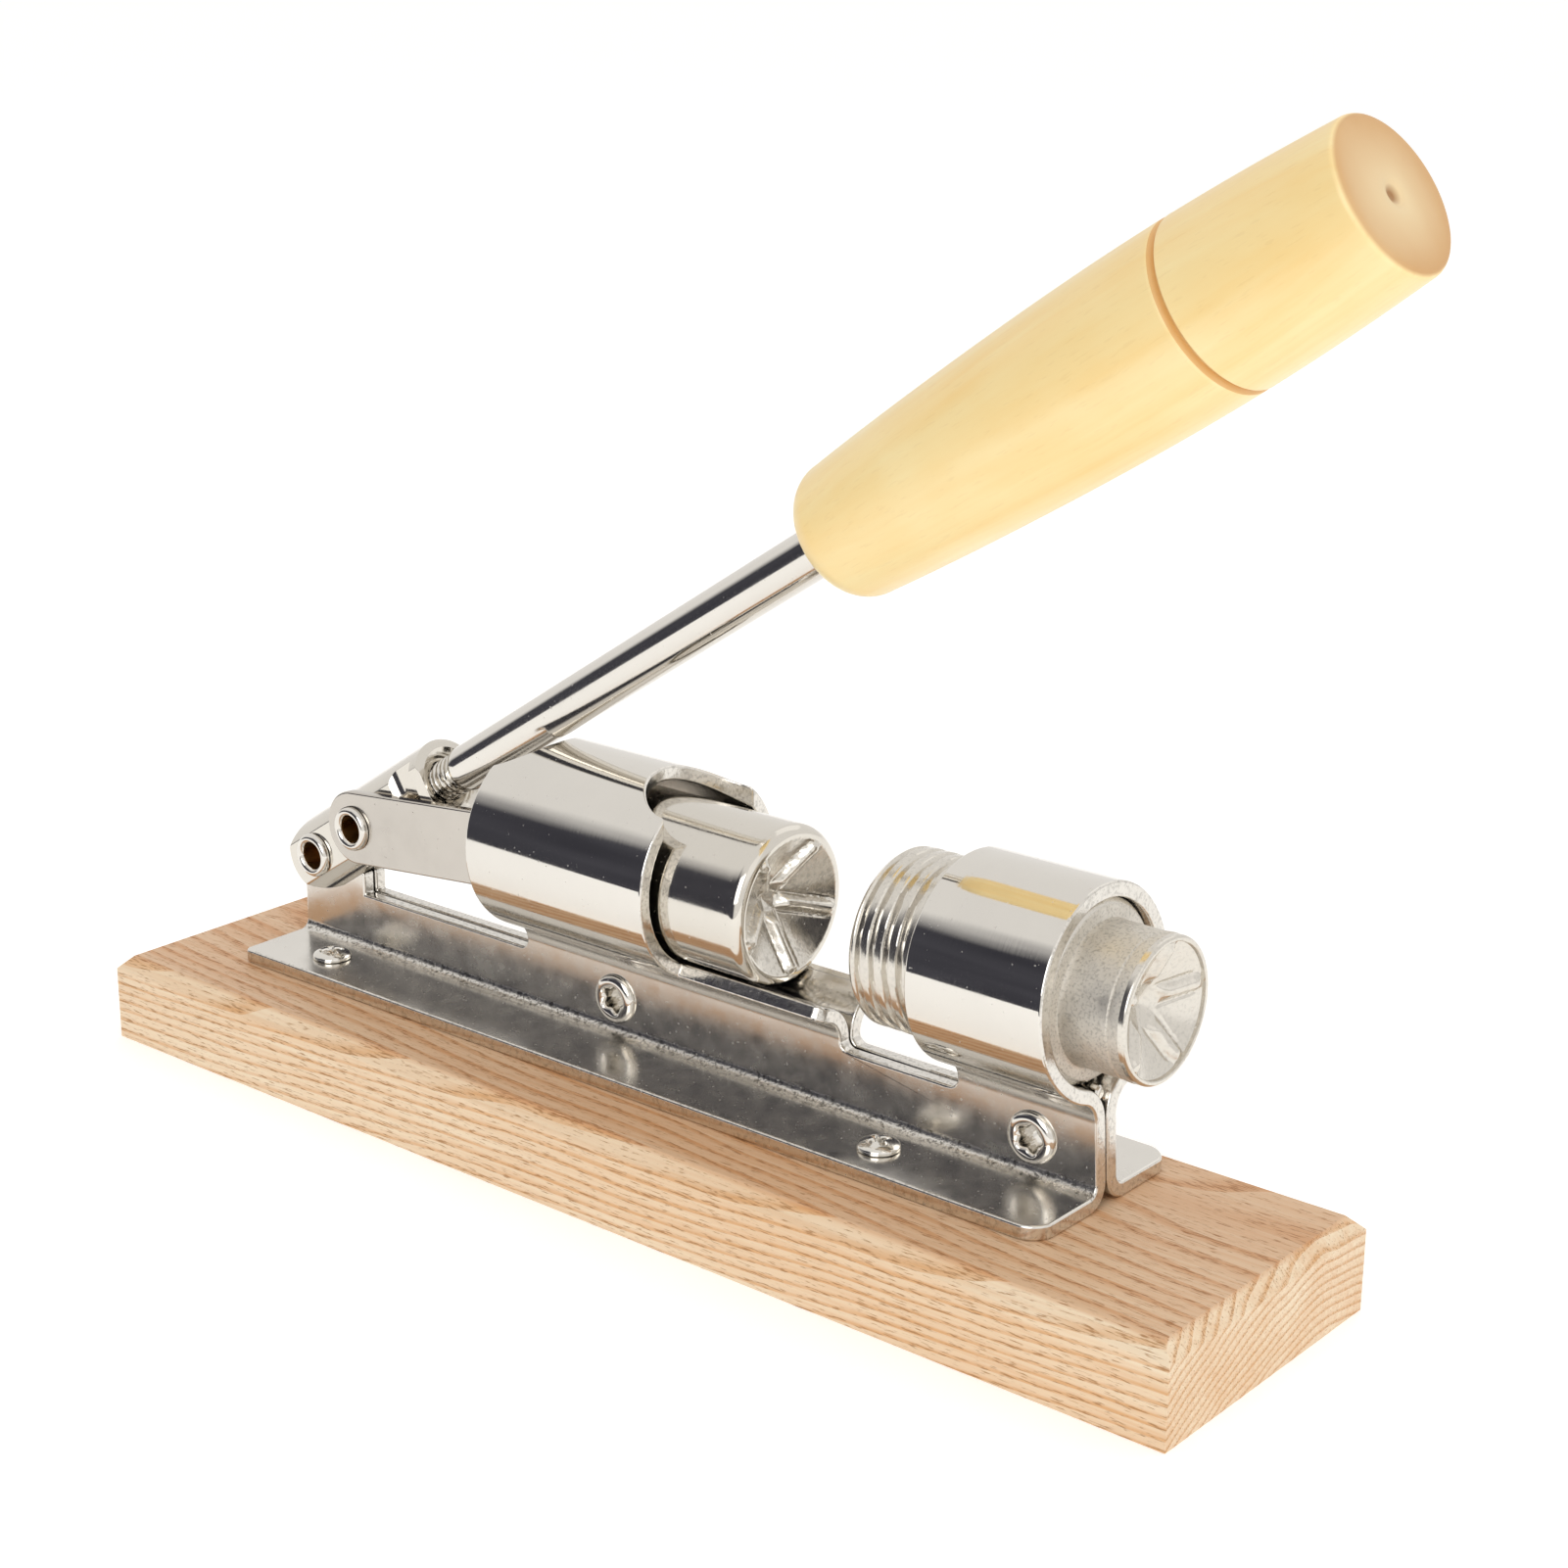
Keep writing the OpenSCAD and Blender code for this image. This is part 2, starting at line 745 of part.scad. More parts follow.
// Ram: round body with a ribbed cup in front and a flat tongue for the links behind.
module ram() {
  rim = 0.9;
  color(plated)
    on_frame()
      difference() {
        union() {
          translate([ram_face, 0, ram_z])
            rotate([0, 90, 0])
              rotate_extrude()
                polygon([
                  [0, -ram_l - tongue_l], [ram_r - 1, -ram_l - tongue_l],
                  [ram_r, -ram_l - tongue_l + 1], [ram_r, -2 * rim],
                  [ram_r - 0.3 * rim, -0.8 * rim], [ram_r - rim, 0], [0, 0]
                ]);
        }
        for (s = [-1, 1])
          translate([ram_face - ram_l - tongue_l - 1, s > 0 ? tongue_half : -tongue_half - far / 4,
              ram_z - far / 8])
            cube([tongue_l + 1, far / 4, far / 4]);
        translate([ram_face, 0, ram_z])
          rotate([0, 90, 0])
            rotate([0, 0, 90])
              cup_cut(ram_r - rim, ram_cup);
        // window that leaves the ram pin room at the opened pivot
        across_y(bore_r)
          translate([ram_pin_x + 0.6, ram_z]) {
            for (s = [-1, 1])
              translate([0, s * (pin_room_z - pin_room_x)])
                circle(ram_pin_d / 2 + pin_room_x);
            square([ram_pin_d + 2 * pin_room_x, 2 * (pin_room_z - pin_room_x)],
              center = true);
          }
      }
}

// Anvil: coarse threaded part with a large cup, and a plain cast end with a small one.
module anvil() {
  crest = bore_r - slide_gap;
  root = crest - thread_depth;
  turns = floor((thread_l - 3) / thread_pitch);
  small_r = anvil_d / 2;
  rim = 0.9;
  total = anvil_front - anvil_rear;
  color(cast)
    on_frame()
      translate([anvil_rear, 0, axis_z])
        rotate([0, 90, 0])
          difference() {
            rotate_extrude()
              polygon(concat(
                [[0, 0], [root, 0]],
                [for (i = [0 : turns - 1], k = [0.1, 0.4, 0.6, 0.9])
                  [k > 0.3 && k < 0.8 ? crest : root, 0.3 + (i + k) * thread_pitch]],
                [
                  [root, thread_l - 2.4], [crest, thread_l - 1.8], [crest, thread_l - 0.8],
                  [crest - 0.8, thread_l], [small_r + 0.8, thread_l],
                  [small_r, thread_l + 0.8], [small_r, total - 3.2],
                  [small_r + 0.15, total - 2.8], [small_r + 0.15, total - 1.2],
                  [small_r - rim, total], [0, total]
                ]
              ));
            translate([0, 0, total])
              rotate([0, 0, 90 - 46])
                cup_cut(small_r - rim, anvil_cup);
            rotate([180, 0, 0])
              cup_cut(root - rim, ram_cup);
          }
}

base_board();
frame();
screw_rear_near();
screw_rear_far();
screw_front_near();
screw_front_far();
web_rivet_rear();
web_rivet_front();
neck_rod();
pivot_rivet();
yoke();
lever_rod();
handle();
link_rivet();
link_near();
link_far();
ram_pin();
ram();
anvil();
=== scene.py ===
"""Dresses the desktop nutcracker: plated sheet, turned steel, cast jaws, oak board and lacquered handle."""

import json
import math

import bmesh
import bpy
import numpy as np
from mathutils import Matrix, Vector


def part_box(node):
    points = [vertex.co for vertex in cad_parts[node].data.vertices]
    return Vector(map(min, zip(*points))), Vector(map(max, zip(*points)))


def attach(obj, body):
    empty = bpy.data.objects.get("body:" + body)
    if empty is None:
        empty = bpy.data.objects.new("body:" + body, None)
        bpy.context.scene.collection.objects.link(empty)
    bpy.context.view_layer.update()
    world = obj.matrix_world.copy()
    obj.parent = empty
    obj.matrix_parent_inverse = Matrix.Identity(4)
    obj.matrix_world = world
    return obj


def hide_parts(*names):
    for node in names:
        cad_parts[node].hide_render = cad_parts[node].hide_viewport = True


bl_info = {
    "name": "Desktop nutcracker",
    "version": (1, 0, 0),
    "blender": (4, 5, 0),
    "location": "3D View > Sidebar > Nutcracker",
    "description": "Builds the visible pieces of a desktop lever nutcracker round its packed solids",
    "category": "Object",
}

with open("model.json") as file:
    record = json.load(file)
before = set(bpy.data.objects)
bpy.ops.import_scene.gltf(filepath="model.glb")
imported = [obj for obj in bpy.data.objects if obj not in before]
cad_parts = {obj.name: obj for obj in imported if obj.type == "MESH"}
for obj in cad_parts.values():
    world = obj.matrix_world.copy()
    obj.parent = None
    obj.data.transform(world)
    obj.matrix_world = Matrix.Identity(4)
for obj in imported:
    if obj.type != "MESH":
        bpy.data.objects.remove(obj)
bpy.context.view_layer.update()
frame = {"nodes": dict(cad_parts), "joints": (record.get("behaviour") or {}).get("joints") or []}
JOINTS = {joint["name"]: joint for joint in frame["joints"]}

MM = 0.001
PIVOT = Vector(JOINTS["lever_hinge"]["pos_m"])
LINK_PIN = Vector(JOINTS["link_hinge"]["pos_m"])
LEVER_ANGLE = math.atan2(LINK_PIN.z - PIVOT.z, LINK_PIN.x - PIVOT.x)
MID_Y = PIVOT.y
BOARD_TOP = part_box("base_board")[1][2]
SHEET = 2.5 * MM
FLANGE_TOP = BOARD_TOP + SHEET
# radius of the barrels' bore and height of the notch floors, in mm
BORE = 14.6
NOTCH = 28.6
(RAM_BACK, _, RAM_LOW), (RAM_FACE, _, RAM_HIGH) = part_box("ram")
RAM_Z = (RAM_LOW + RAM_HIGH) / 2
(ANVIL_BACK, _, ANVIL_LOW), (ANVIL_FRONT, _, ANVIL_HIGH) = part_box("anvil")
AXIS_Z = (ANVIL_LOW + ANVIL_HIGH) / 2

# places a shape turned round its own z on the lever's axis, z = 0 on the pivot
ON_LEVER = Matrix.Translation(PIVOT) @ Matrix.Rotation(math.pi / 2 - LEVER_ANGLE, 4, "Y")


def middle(node):
    """The middle of a CAD node's box."""
    low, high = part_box(node)
    return [(a + b) / 2 for a, b in zip(low, high)]


def along_x(x, y, z):
    """Places a shape turned round its own z so that it lies along X, with z = 0 at a point."""
    return Matrix.Translation((x, y, z)) @ Matrix.Rotation(math.pi / 2, 4, "Y")


def linear(text):
    """Turns an sRGB hex colour into the linear RGBA colour that Blender's sockets take."""
    parts = [int(text[i : i + 2], 16) / 255 for i in (1, 3, 5)]
    return (*(c / 12.92 if c <= 0.04045 else ((c + 0.055) / 1.055) ** 2.4 for c in parts), 1.0)


def add(tree, kind, ins=None, **settings):
    """Adds one node: settings are its own properties, ins its inputs as values, sockets or nodes.

    A node given as an input stands for the first of its outputs that is in use."""
    made = tree.nodes.new(kind)
    for key, value in settings.items():
        setattr(made, key, value)
    for key, value in (ins or {}).items():
        if isinstance(value, bpy.types.Node):
            value = next(socket for socket in value.outputs if socket.enabled)
        if isinstance(value, bpy.types.NodeSocket):
            tree.links.new(value, made.inputs[key])
        else:
            made.inputs[key].default_value = value
    return made


def calc(tree, operation, *values):
    """One step of arithmetic on numbers, sockets or nodes."""
    return add(tree, "ShaderNodeMath", dict(enumerate(values)), operation=operation)


def spread(tree, value, low, high, to_low=0.0, to_high=1.0, smooth=False):
    """Spreads the stretch from low to high over the one from to_low to to_high, and stops at its ends."""
    ins = {"Value": value, "From Min": low, "From Max": high, "To Min": to_low, "To Max": to_high}
    return add(tree, "ShaderNodeMapRange", ins, interpolation_type="SMOOTHSTEP" if smooth else "LINEAR")


def noise(tree, place, scale, detail, roughness=0.5):
    """Noise of one scale, or of three where it is drawn out along an axis."""
    if isinstance(scale, tuple):
        place, scale = add(tree, "ShaderNodeMapping", {"Vector": place, "Scale": scale}), 1.0
    ins = {"Vector": place, "Scale": scale, "Detail": detail, "Roughness": roughness}
    return add(tree, "ShaderNodeTexNoise", ins)


def mix(tree, share, first, second, **settings):
    """Mixes two colours: the second has this share."""
    ins = {"Factor": share, "A": first, "B": second}
    return add(tree, "ShaderNodeMix", ins, data_type="RGBA", **settings)


# materials


def new_material(name):
    """An empty node material and its tree."""
    made = bpy.data.materials.new(name)
    made.use_nodes = True
    made.node_tree.nodes.clear()
    return made, made.node_tree


def end_material(tree, ins):
    """Joins a Principled shader with these inputs to the material's output."""
    add(tree, "ShaderNodeOutputMaterial", {"Surface": add(tree, "ShaderNodeBsdfPrincipled", ins)})


def set_ramp(ramp, *stops):
    """Gives a colour ramp its grey levels as (place, level), from the first to the last."""
    first, *between, last = stops
    for stop, (place, level) in zip(tuple(ramp.elements), (first, last)):
        stop.position = place
        stop.color = (level, level, level, 1)
    for place, level in between:
        ramp.elements.new(place).color = (level, level, level, 1)


def nickel(name, tint, rough, wave, grain, grain_size, wear_and_shade=0.12, even=None, flecked=0.0):
    """Nickel plating: warm grey metal with soft waves, fine polishing lines and small dull spots.

    rough is the roughness of the clean plating, wave the height of its slow waves in mm,
    grain and grain_size the height and size in mm of the ground that shows through,
    worn how dull its clouds are, and flecked how dark the ground stays between its grains.
    even is the scale of marks that have no direction, where no polishing lines are wanted."""
    lay = (even,) * 3 if even else (2600.0, 150.0, 150.0)
    line_depth = 0.0 if even else 0.0025 * MM
    made, tree = new_material(name)
    place = add(tree, "ShaderNodeTexCoord").outputs["Object"]
    # slow waves of a pressed or polished surface, about 11 mm from crest to crest
    waves = noise(tree, place, 90.0, 1.0)
    # polishing lines, about 0.4 mm wide and 7 mm long, or marks without a direction
    marks = noise(tree, place, lay, 3.0)
    ground = noise(tree, place, 1000.0 / grain_size, 3.0, 0.6)
    # dull clouds where fingers and the plating bath leave the metal less bright
    clouds = noise(tree, place, 55.0, 5.0, 0.65)
    dull = spread(tree, clouds, 0.45, 0.75, 0.0, wear_and_shade)
    fine = spread(tree, marks, 0.3, 0.8, rough * 0.8, rough * 1.5)
    clouded = calc(tree, "ADD", dull, fine)
    # pin-holes in the plating, 0.3 mm across and some 5 mm apart
    specks = noise(tree, place, 1500.0, 1.0)
    pitted = spread(tree, specks, 0.73, 0.78, 0.0, 0.35)
    roughness = calc(tree, "ADD", clouded, pitted)
    shade = mix(tree, clouds, linear(tint), (*[c * 0.9 for c in linear(tint)[:3]], 1))
    hollow = spread(tree, ground, 0.5, 0.64, 0.0, flecked)
    colour = mix(tree, hollow, shade, linear("#5c5750"))
    slow = add(tree, "ShaderNodeBump", {"Height": waves, "Distance": wave * MM, "Strength": 1.0})
    lined = add(
        tree, "ShaderNodeBump", {"Height": marks, "Distance": line_depth, "Strength": 1.0, "Normal": slow}
    )
    small = add(
        tree, "ShaderNodeBump", {"Height": ground, "Distance": grain * MM, "Strength": 1.0, "Normal": lined}
    )
    end_material(tree, {"Base Color": colour, "Metallic": 1.0, "Roughness": roughness, "Normal": small})
    return made


def oak(name, light, dark, pore):
    """Flat-sawn oak board, planed and waxed: yearly rings, open pores drawn out along X."""
    made, tree = new_material(name)
    place = add(tree, "ShaderNodeTexCoord").outputs["Object"]
    # the log's middle lies 70 mm under the board, and the log leans a little
    lean = (0.0, math.radians(2.2), math.radians(1.6))
    log = add(
        tree, "ShaderNodeMapping", {"Vector": place, "Location": (0.0, -0.022, 0.070), "Rotation": lean}
    )
    wobble = noise(tree, place, (7.0, 26.0, 26.0), 3.0)
    axes = add(tree, "ShaderNodeSeparateXYZ", {"Vector": log})
    flat = add(tree, "ShaderNodeCombineXYZ", {"Y": axes.outputs["Y"], "Z": axes.outputs["Z"]})
    radius = add(tree, "ShaderNodeVectorMath", {0: flat}, operation="LENGTH")
    # rings 1.6 mm apart, moved up to 4 mm by the wobble
    moved = calc(tree, "MULTIPLY_ADD", wobble, 0.0085, radius)
    count = calc(tree, "MULTIPLY", moved, 1 / 0.0016)
    year = calc(tree, "FRACT", count)
    ring = add(tree, "ShaderNodeValToRGB", {"Fac": year})
    set_ramp(ring.color_ramp, (0.0, 0.75), (0.16, 1.0), (0.45, 0.25), (1.0, 0.12))
    # pores: 0.25 mm across, 2.5 mm long, thickest in the early wood
    pores = noise(tree, place, (400.0, 3900.0, 3900.0), 2.0, 0.55)
    bias = calc(tree, "MULTIPLY_ADD", ring, 0.11, pores)
    open_pore = spread(tree, bias, 0.61, 0.74, 0.0, 0.85)
    # fibres: 0.6 mm, very long
    fibres = noise(tree, place, (22.0, 1500.0, 1500.0), 3.0)
    tone = noise(tree, place, (9.0, 90.0, 90.0), 3.0)
    ringed = calc(tree, "MULTIPLY", ring, 0.38)
    fibred = calc(tree, "MULTIPLY_ADD", fibres, 0.5, ringed)
    toned = calc(tree, "MULTIPLY_ADD", tone, 0.55, fibred)
    share = spread(tree, toned, 0.35, 1.0)
    wood = mix(tree, share, linear(light), linear(dark))
    with_pores = mix(tree, open_pore, wood, linear(pore))
    # painted shade: the top face is painted darker and warmer, because less light falls on it than on the
    # front
    height = add(tree, "ShaderNodeSeparateXYZ", {"Vector": place}).outputs["Z"]
    top = spread(tree, height, BOARD_TOP - 0.6 * MM, BOARD_TOP - 0.1 * MM)
    wear_and_shade = mix(tree, top, with_pores, (0.87, 0.75, 0.67, 1), blend_type="MULTIPLY")
    rough = spread(tree, open_pore, 0.0, 1.0, 0.42, 0.7)
    sunk = calc(tree, "MULTIPLY_ADD", open_pore, -1.0, fibres)
    bump = add(tree, "ShaderNodeBump", {"Height": sunk, "Distance": 0.05 * MM, "Strength": 0.8})
    end_material(
        tree, {"Base Color": wear_and_shade, "Roughness": rough, "Normal": bump, "IOR": 1.5, "Specular IOR Level": 0.35}
    )
    return made


def lacquered_wood(name, pale, deep, end_grain):
    """Pale close-grained hardwood, turned and dipped in clear lacquer, with a sanded end face."""
    made, tree = new_material(name)
    place = add(tree, "ShaderNodeTexCoord").outputs["Object"]
    # z runs along the handle and is 0 on the pivot
    centred = add(
        tree, "ShaderNodeMapping",
        {"Vector": place, "Location": PIVOT, "Rotation": (0.0, math.pi / 2 - LEVER_ANGLE, 0.0)},
        vector_type="TEXTURE"
    )
    parts = add(tree, "ShaderNodeSeparateXYZ", {"Vector": centred})
    # growth lines: 1.4 mm apart, drawn out over 60 mm
    lines = noise(tree, centred, (170.0, 420.0, 15.0), 4.0, 0.55)
    cloud = noise(tree, centred, 45.0, 3.0)
    flecks = noise(tree, centred, (2300.0, 2300.0, 330.0), 1.0)
    fleck = spread(tree, flecks, 0.62, 0.72, 0.0, 0.08)
    clouded = calc(tree, "MULTIPLY", cloud, 0.55)
    blend = calc(tree, "MULTIPLY_ADD", lines, 0.75, clouded)
    share = spread(tree, blend, 0.45, 0.85)
    body = mix(tree, share, linear(pale), linear(deep))
    flecked = mix(tree, fleck, body, linear("#c99a55"))
    # the end face has the pinkish tone of bare end grain, with a paler heart
    at_end = spread(tree, parts.outputs["Z"], 0.2468, 0.2472)
    flat = add(tree, "ShaderNodeCombineXYZ", {"X": parts.outputs["X"], "Y": parts.outputs["Y"]})
    radius = add(tree, "ShaderNodeVectorMath", {0: flat}, operation="LENGTH")
    blurred = calc(tree, "MULTIPLY_ADD", cloud, 0.012, radius)
    outer = spread(tree, blurred, 0.008, 0.019)
    heart = mix(tree, outer, linear("#e8cfa2"), linear(end_grain))
    # the lathe's centre mark in the end face
    mark = spread(tree, radius, 0.0006, 0.0016, 1.0, 0.0)
    face = mix(tree, mark, heart, linear("#a87a48"))
    inside = calc(tree, "LESS_THAN", radius, 0.0023)
    on_face = calc(tree, "MAXIMUM", at_end, inside)
    whole = mix(tree, on_face, flecked, face)
    # the groove, 217.4 mm from the pivot, is painted darker: a burnt line and painted shade in the groove
    groove_line_and_shade = calc(tree, "COMPARE", parts.outputs["Z"], 0.2174, 0.0007)
    lined = calc(tree, "MULTIPLY", groove_line_and_shade, 0.7)
    colour = mix(tree, lined, whole, linear("#d89c50"))
    rough = spread(tree, at_end, 0.0, 1.0, 0.33, 0.62)
    bump = add(tree, "ShaderNodeBump", {"Height": lines, "Distance": 0.03 * MM, "Strength": 0.6})
    end_material(
        tree,
        {
            "Base Color": colour, "Roughness": rough, "Normal": bump, "IOR": 1.5, "Coat Weight": 0.15,
            "Coat Roughness": 0.3
        }
    )
    return made


# meshes


def mesh_object(name, points, faces, cup=None):
    """A new object at the origin from points in metres; cup marks the points that ribs may lift."""
    mesh = bpy.data.meshes.new(name)
    mesh.from_pydata([tuple(p) for p in points], [], faces)
    if cup is not None:
        mesh.attributes.new("cup", "FLOAT", "POINT").data.foreach_set("value", cup)
    mesh.update()
    made = bpy.data.objects.new(name, mesh)
    bpy.context.scene.collection.objects.link(made)
    return made


def finish_mesh(made, place=None, sharp=40.0):
    """Puts a mesh in its place, turns its faces outwards and shades it smooth up to an angle."""
    if place is not None:
        made.data.transform(place)
    shape = bmesh.new()
    shape.from_mesh(made.data)
    bmesh.ops.recalc_face_normals(shape, faces=shape.faces)
    shape.to_mesh(made.data)
    shape.free()
    made.data.shade_smooth()
    made.data.set_sharp_from_angle(angle=math.radians(sharp))
    return made


def even_faces(made):
    """Gives flat faces next to a rounded edge one even shade, as on a machined part."""
    step = made.modifiers.new("even", "WEIGHTED_NORMAL")
    step.mode = "FACE_AREA"
    step.keep_sharp = True
    return plain_mesh(made)


def plain_mesh(made):
    """Turns an object's modifiers into its own mesh."""
    bpy.context.view_layer.update()
    seen = made.evaluated_get(bpy.context.evaluated_depsgraph_get())
    mesh = bpy.data.meshes.new_from_object(seen)
    made.modifiers.clear()
    old = made.data
    made.data = mesh
    bpy.data.meshes.remove(old)
    return made


def turned(name, profile, around=128, cup=None):
    """A body turned round z from a profile of (radius, height) points in mm, closed at both ends."""
    points, faces, marks = [], [], []
    rings = []
    for i, (radius, height) in enumerate(profile):
        mark = 1.0 if cup and cup(i, radius, height) else 0.0
        if radius < 1e-6:
            rings.append([len(points)])
            points.append((0.0, 0.0, height * MM))
            marks.append(mark)
            continue
        ring = []
        for k in range(around):
            turn = 2 * math.pi * k / around
            ring.append(len(points))
            points.append((radius * MM * math.cos(turn), radius * MM * math.sin(turn), height * MM))
            marks.append(mark)
        rings.append(ring)
    for low, high in zip(rings, rings[1:]):
        for k in range(around):
            n = (k + 1) % around
            if len(low) == 1 and len(high) == 1:
                continue
            if len(low) == 1:
                faces.append((low[0], high[n], high[k]))
            elif len(high) == 1:
                faces.append((low[k], low[n], high[0]))
            else:
                faces.append((low[k], low[n], high[n], high[k]))
    if len(rings[0]) > 1 and len(rings[-1]) > 1:
        # a ring-shaped body: the last ring joins the first
        low, high = rings[-1], rings[0]
        faces += [(low[k], low[(k + 1) % around], high[(k + 1) % around], high[k]) for k in range(around)]
    return mesh_object(name, points, faces, marks if cup else None)


def arc(centre, radius, start, end, steps):
    """Points of an arc in a profile, angles in degrees from the outward direction."""
    turns = [math.radians(start + (end - start) * i / steps) for i in range(steps + 1)]
    return [(centre[0] + radius * math.cos(turn), centre[1] + radius * math.sin(turn)) for turn in turns]


def line(start, end, steps):
    """Points of a straight stretch of a profile."""
    return [tuple(a + (b - a) * i / steps for a, b in zip(start, end)) for i in range(steps + 1)]


def dressed_copy(node, name, edge, sharp=32.0, weld=0.0, mend=None):
    """A merged copy of a CAD node whose hard edges are broken by a small bevel.

    edge is the bevel and weld the length in mm of the slivers that are closed up before it,
    because the shortest sliver would otherwise hold every bevel back. mend may mend the shape first."""
    source = frame["nodes"][node].data
    made = bpy.data.objects.new(name, source.copy())
    bpy.context.scene.collection.objects.link(made)
    made.data.materials.clear()
    shape = bmesh.new()
    shape.from_mesh(made.data)
    bmesh.ops.remove_doubles(shape, verts=shape.verts, dist=2e-6)
    bmesh.ops.dissolve_limit(shape, angle_limit=math.radians(0.6), verts=shape.verts, edges=shape.edges)
    if mend:
        mend(shape)
    if weld:
        bmesh.ops.remove_doubles(shape, verts=shape.verts, dist=weld * MM)
    shape.to_mesh(made.data)
    shape.free()
    bevel = made.modifiers.new("edge", "BEVEL")
    bevel.width = edge * MM
    bevel.segments = 3
    bevel.limit_method = "ANGLE"
    bevel.angle_limit = math.radians(sharp)
    bevel.use_clamp_overlap = not weld
    plain_mesh(made)
    finish_mesh(made, sharp=50)
    return even_faces(made)


# geometry node trees


def tree_input(tree, name, kind, value=None):
    """Adds a named input to a geometry tree."""
    made = tree.interface.new_socket(name, in_out="INPUT", socket_type=kind)
    if value is not None:
        made.default_value = value
    return made


def new_tree(name):
    """A geometry tree with a geometry input and output and a material input."""
    tree = bpy.data.node_groups.new(name, "GeometryNodeTree")
    tree.interface.new_socket("Geometry", in_out="OUTPUT", socket_type="NodeSocketGeometry")
    tree_input(tree, "Geometry", "NodeSocketGeometry")
    tree_input(tree, "Material", "NodeSocketMaterial")
    return tree


def end_tree(tree, given, shape):
    """Realizes instances, sets the material and joins the tree's output."""
    real = add(tree, "GeometryNodeRealizeInstances", {"Geometry": shape})
    painted = add(tree, "GeometryNodeSetMaterial", {"Geometry": real, "Material": given["Material"]})
    add(tree, "NodeGroupOutput", {"Geometry": painted})


def polar(tree):
    """A point's place, its height along z, the direction and distance from z to it and its angle round z."""
    place = add(tree, "GeometryNodeInputPosition")
    axes = add(tree, "ShaderNodeSeparateXYZ", {0: place})
    flat = add(tree, "ShaderNodeCombineXYZ", {0: axes.outputs["X"], 1: axes.outputs["Y"]})
    outward = add(tree, "ShaderNodeVectorMath", {0: flat}, operation="NORMALIZE")
    radius = add(tree, "ShaderNodeVectorMath", {0: flat}, operation="LENGTH")
    turn = calc(tree, "ARCTAN2", axes.outputs["Y"], axes.outputs["X"])
    return place, axes.outputs["Z"], outward, radius, turn


def thread_tree():
    """Cuts a helical thread into the wall of a body turned round z."""
    tree = new_tree("screw_thread")
    for name, value in (
        ("Pitch", 2.5 * MM), ("Depth", 1.0 * MM), ("Wall radius", 13.0 * MM), ("Start", 0.0),
        ("End", 10 * MM), ("Run-out", 1.0 * MM)
    ):
        tree_input(tree, name, "NodeSocketFloat", value)
    given = add(tree, "NodeGroupInput").outputs
    _, height, outward, radius, turn = polar(tree)
    rise = calc(tree, "DIVIDE", height, given["Pitch"])
    phase = calc(tree, "MULTIPLY_ADD", turn, -1 / (2 * math.pi), rise)
    share = calc(tree, "FRACT", phase)
    off = calc(tree, "SUBTRACT", share, 0.5)
    away = calc(tree, "ABSOLUTE", off)
    cut = spread(tree, away, 0.2, 0.5, smooth=True)
    cut_start = calc(tree, "ADD", given["Start"], given["Run-out"])
    cut_end = calc(tree, "SUBTRACT", given["End"], given["Run-out"])
    fade_in = spread(tree, height, given["Start"], cut_start)
    fade_out = spread(tree, height, given["End"], cut_end)
    both = calc(tree, "MULTIPLY", fade_in, fade_out)
    wall = calc(tree, "SUBTRACT", given["Wall radius"], 0.00025)
    on_wall = calc(tree, "GREATER_THAN", radius, wall)
    inward = cut
    for factor in (both, given["Depth"], on_wall, -1.0):
        inward = calc(tree, "MULTIPLY", inward, factor)
    step = add(tree, "ShaderNodeVectorMath", {0: outward, "Scale": inward}, operation="SCALE")
    moved = add(tree, "GeometryNodeSetPosition", {"Geometry": given["Geometry"], "Offset": step})
    end_tree(tree, given, moved)
    return tree


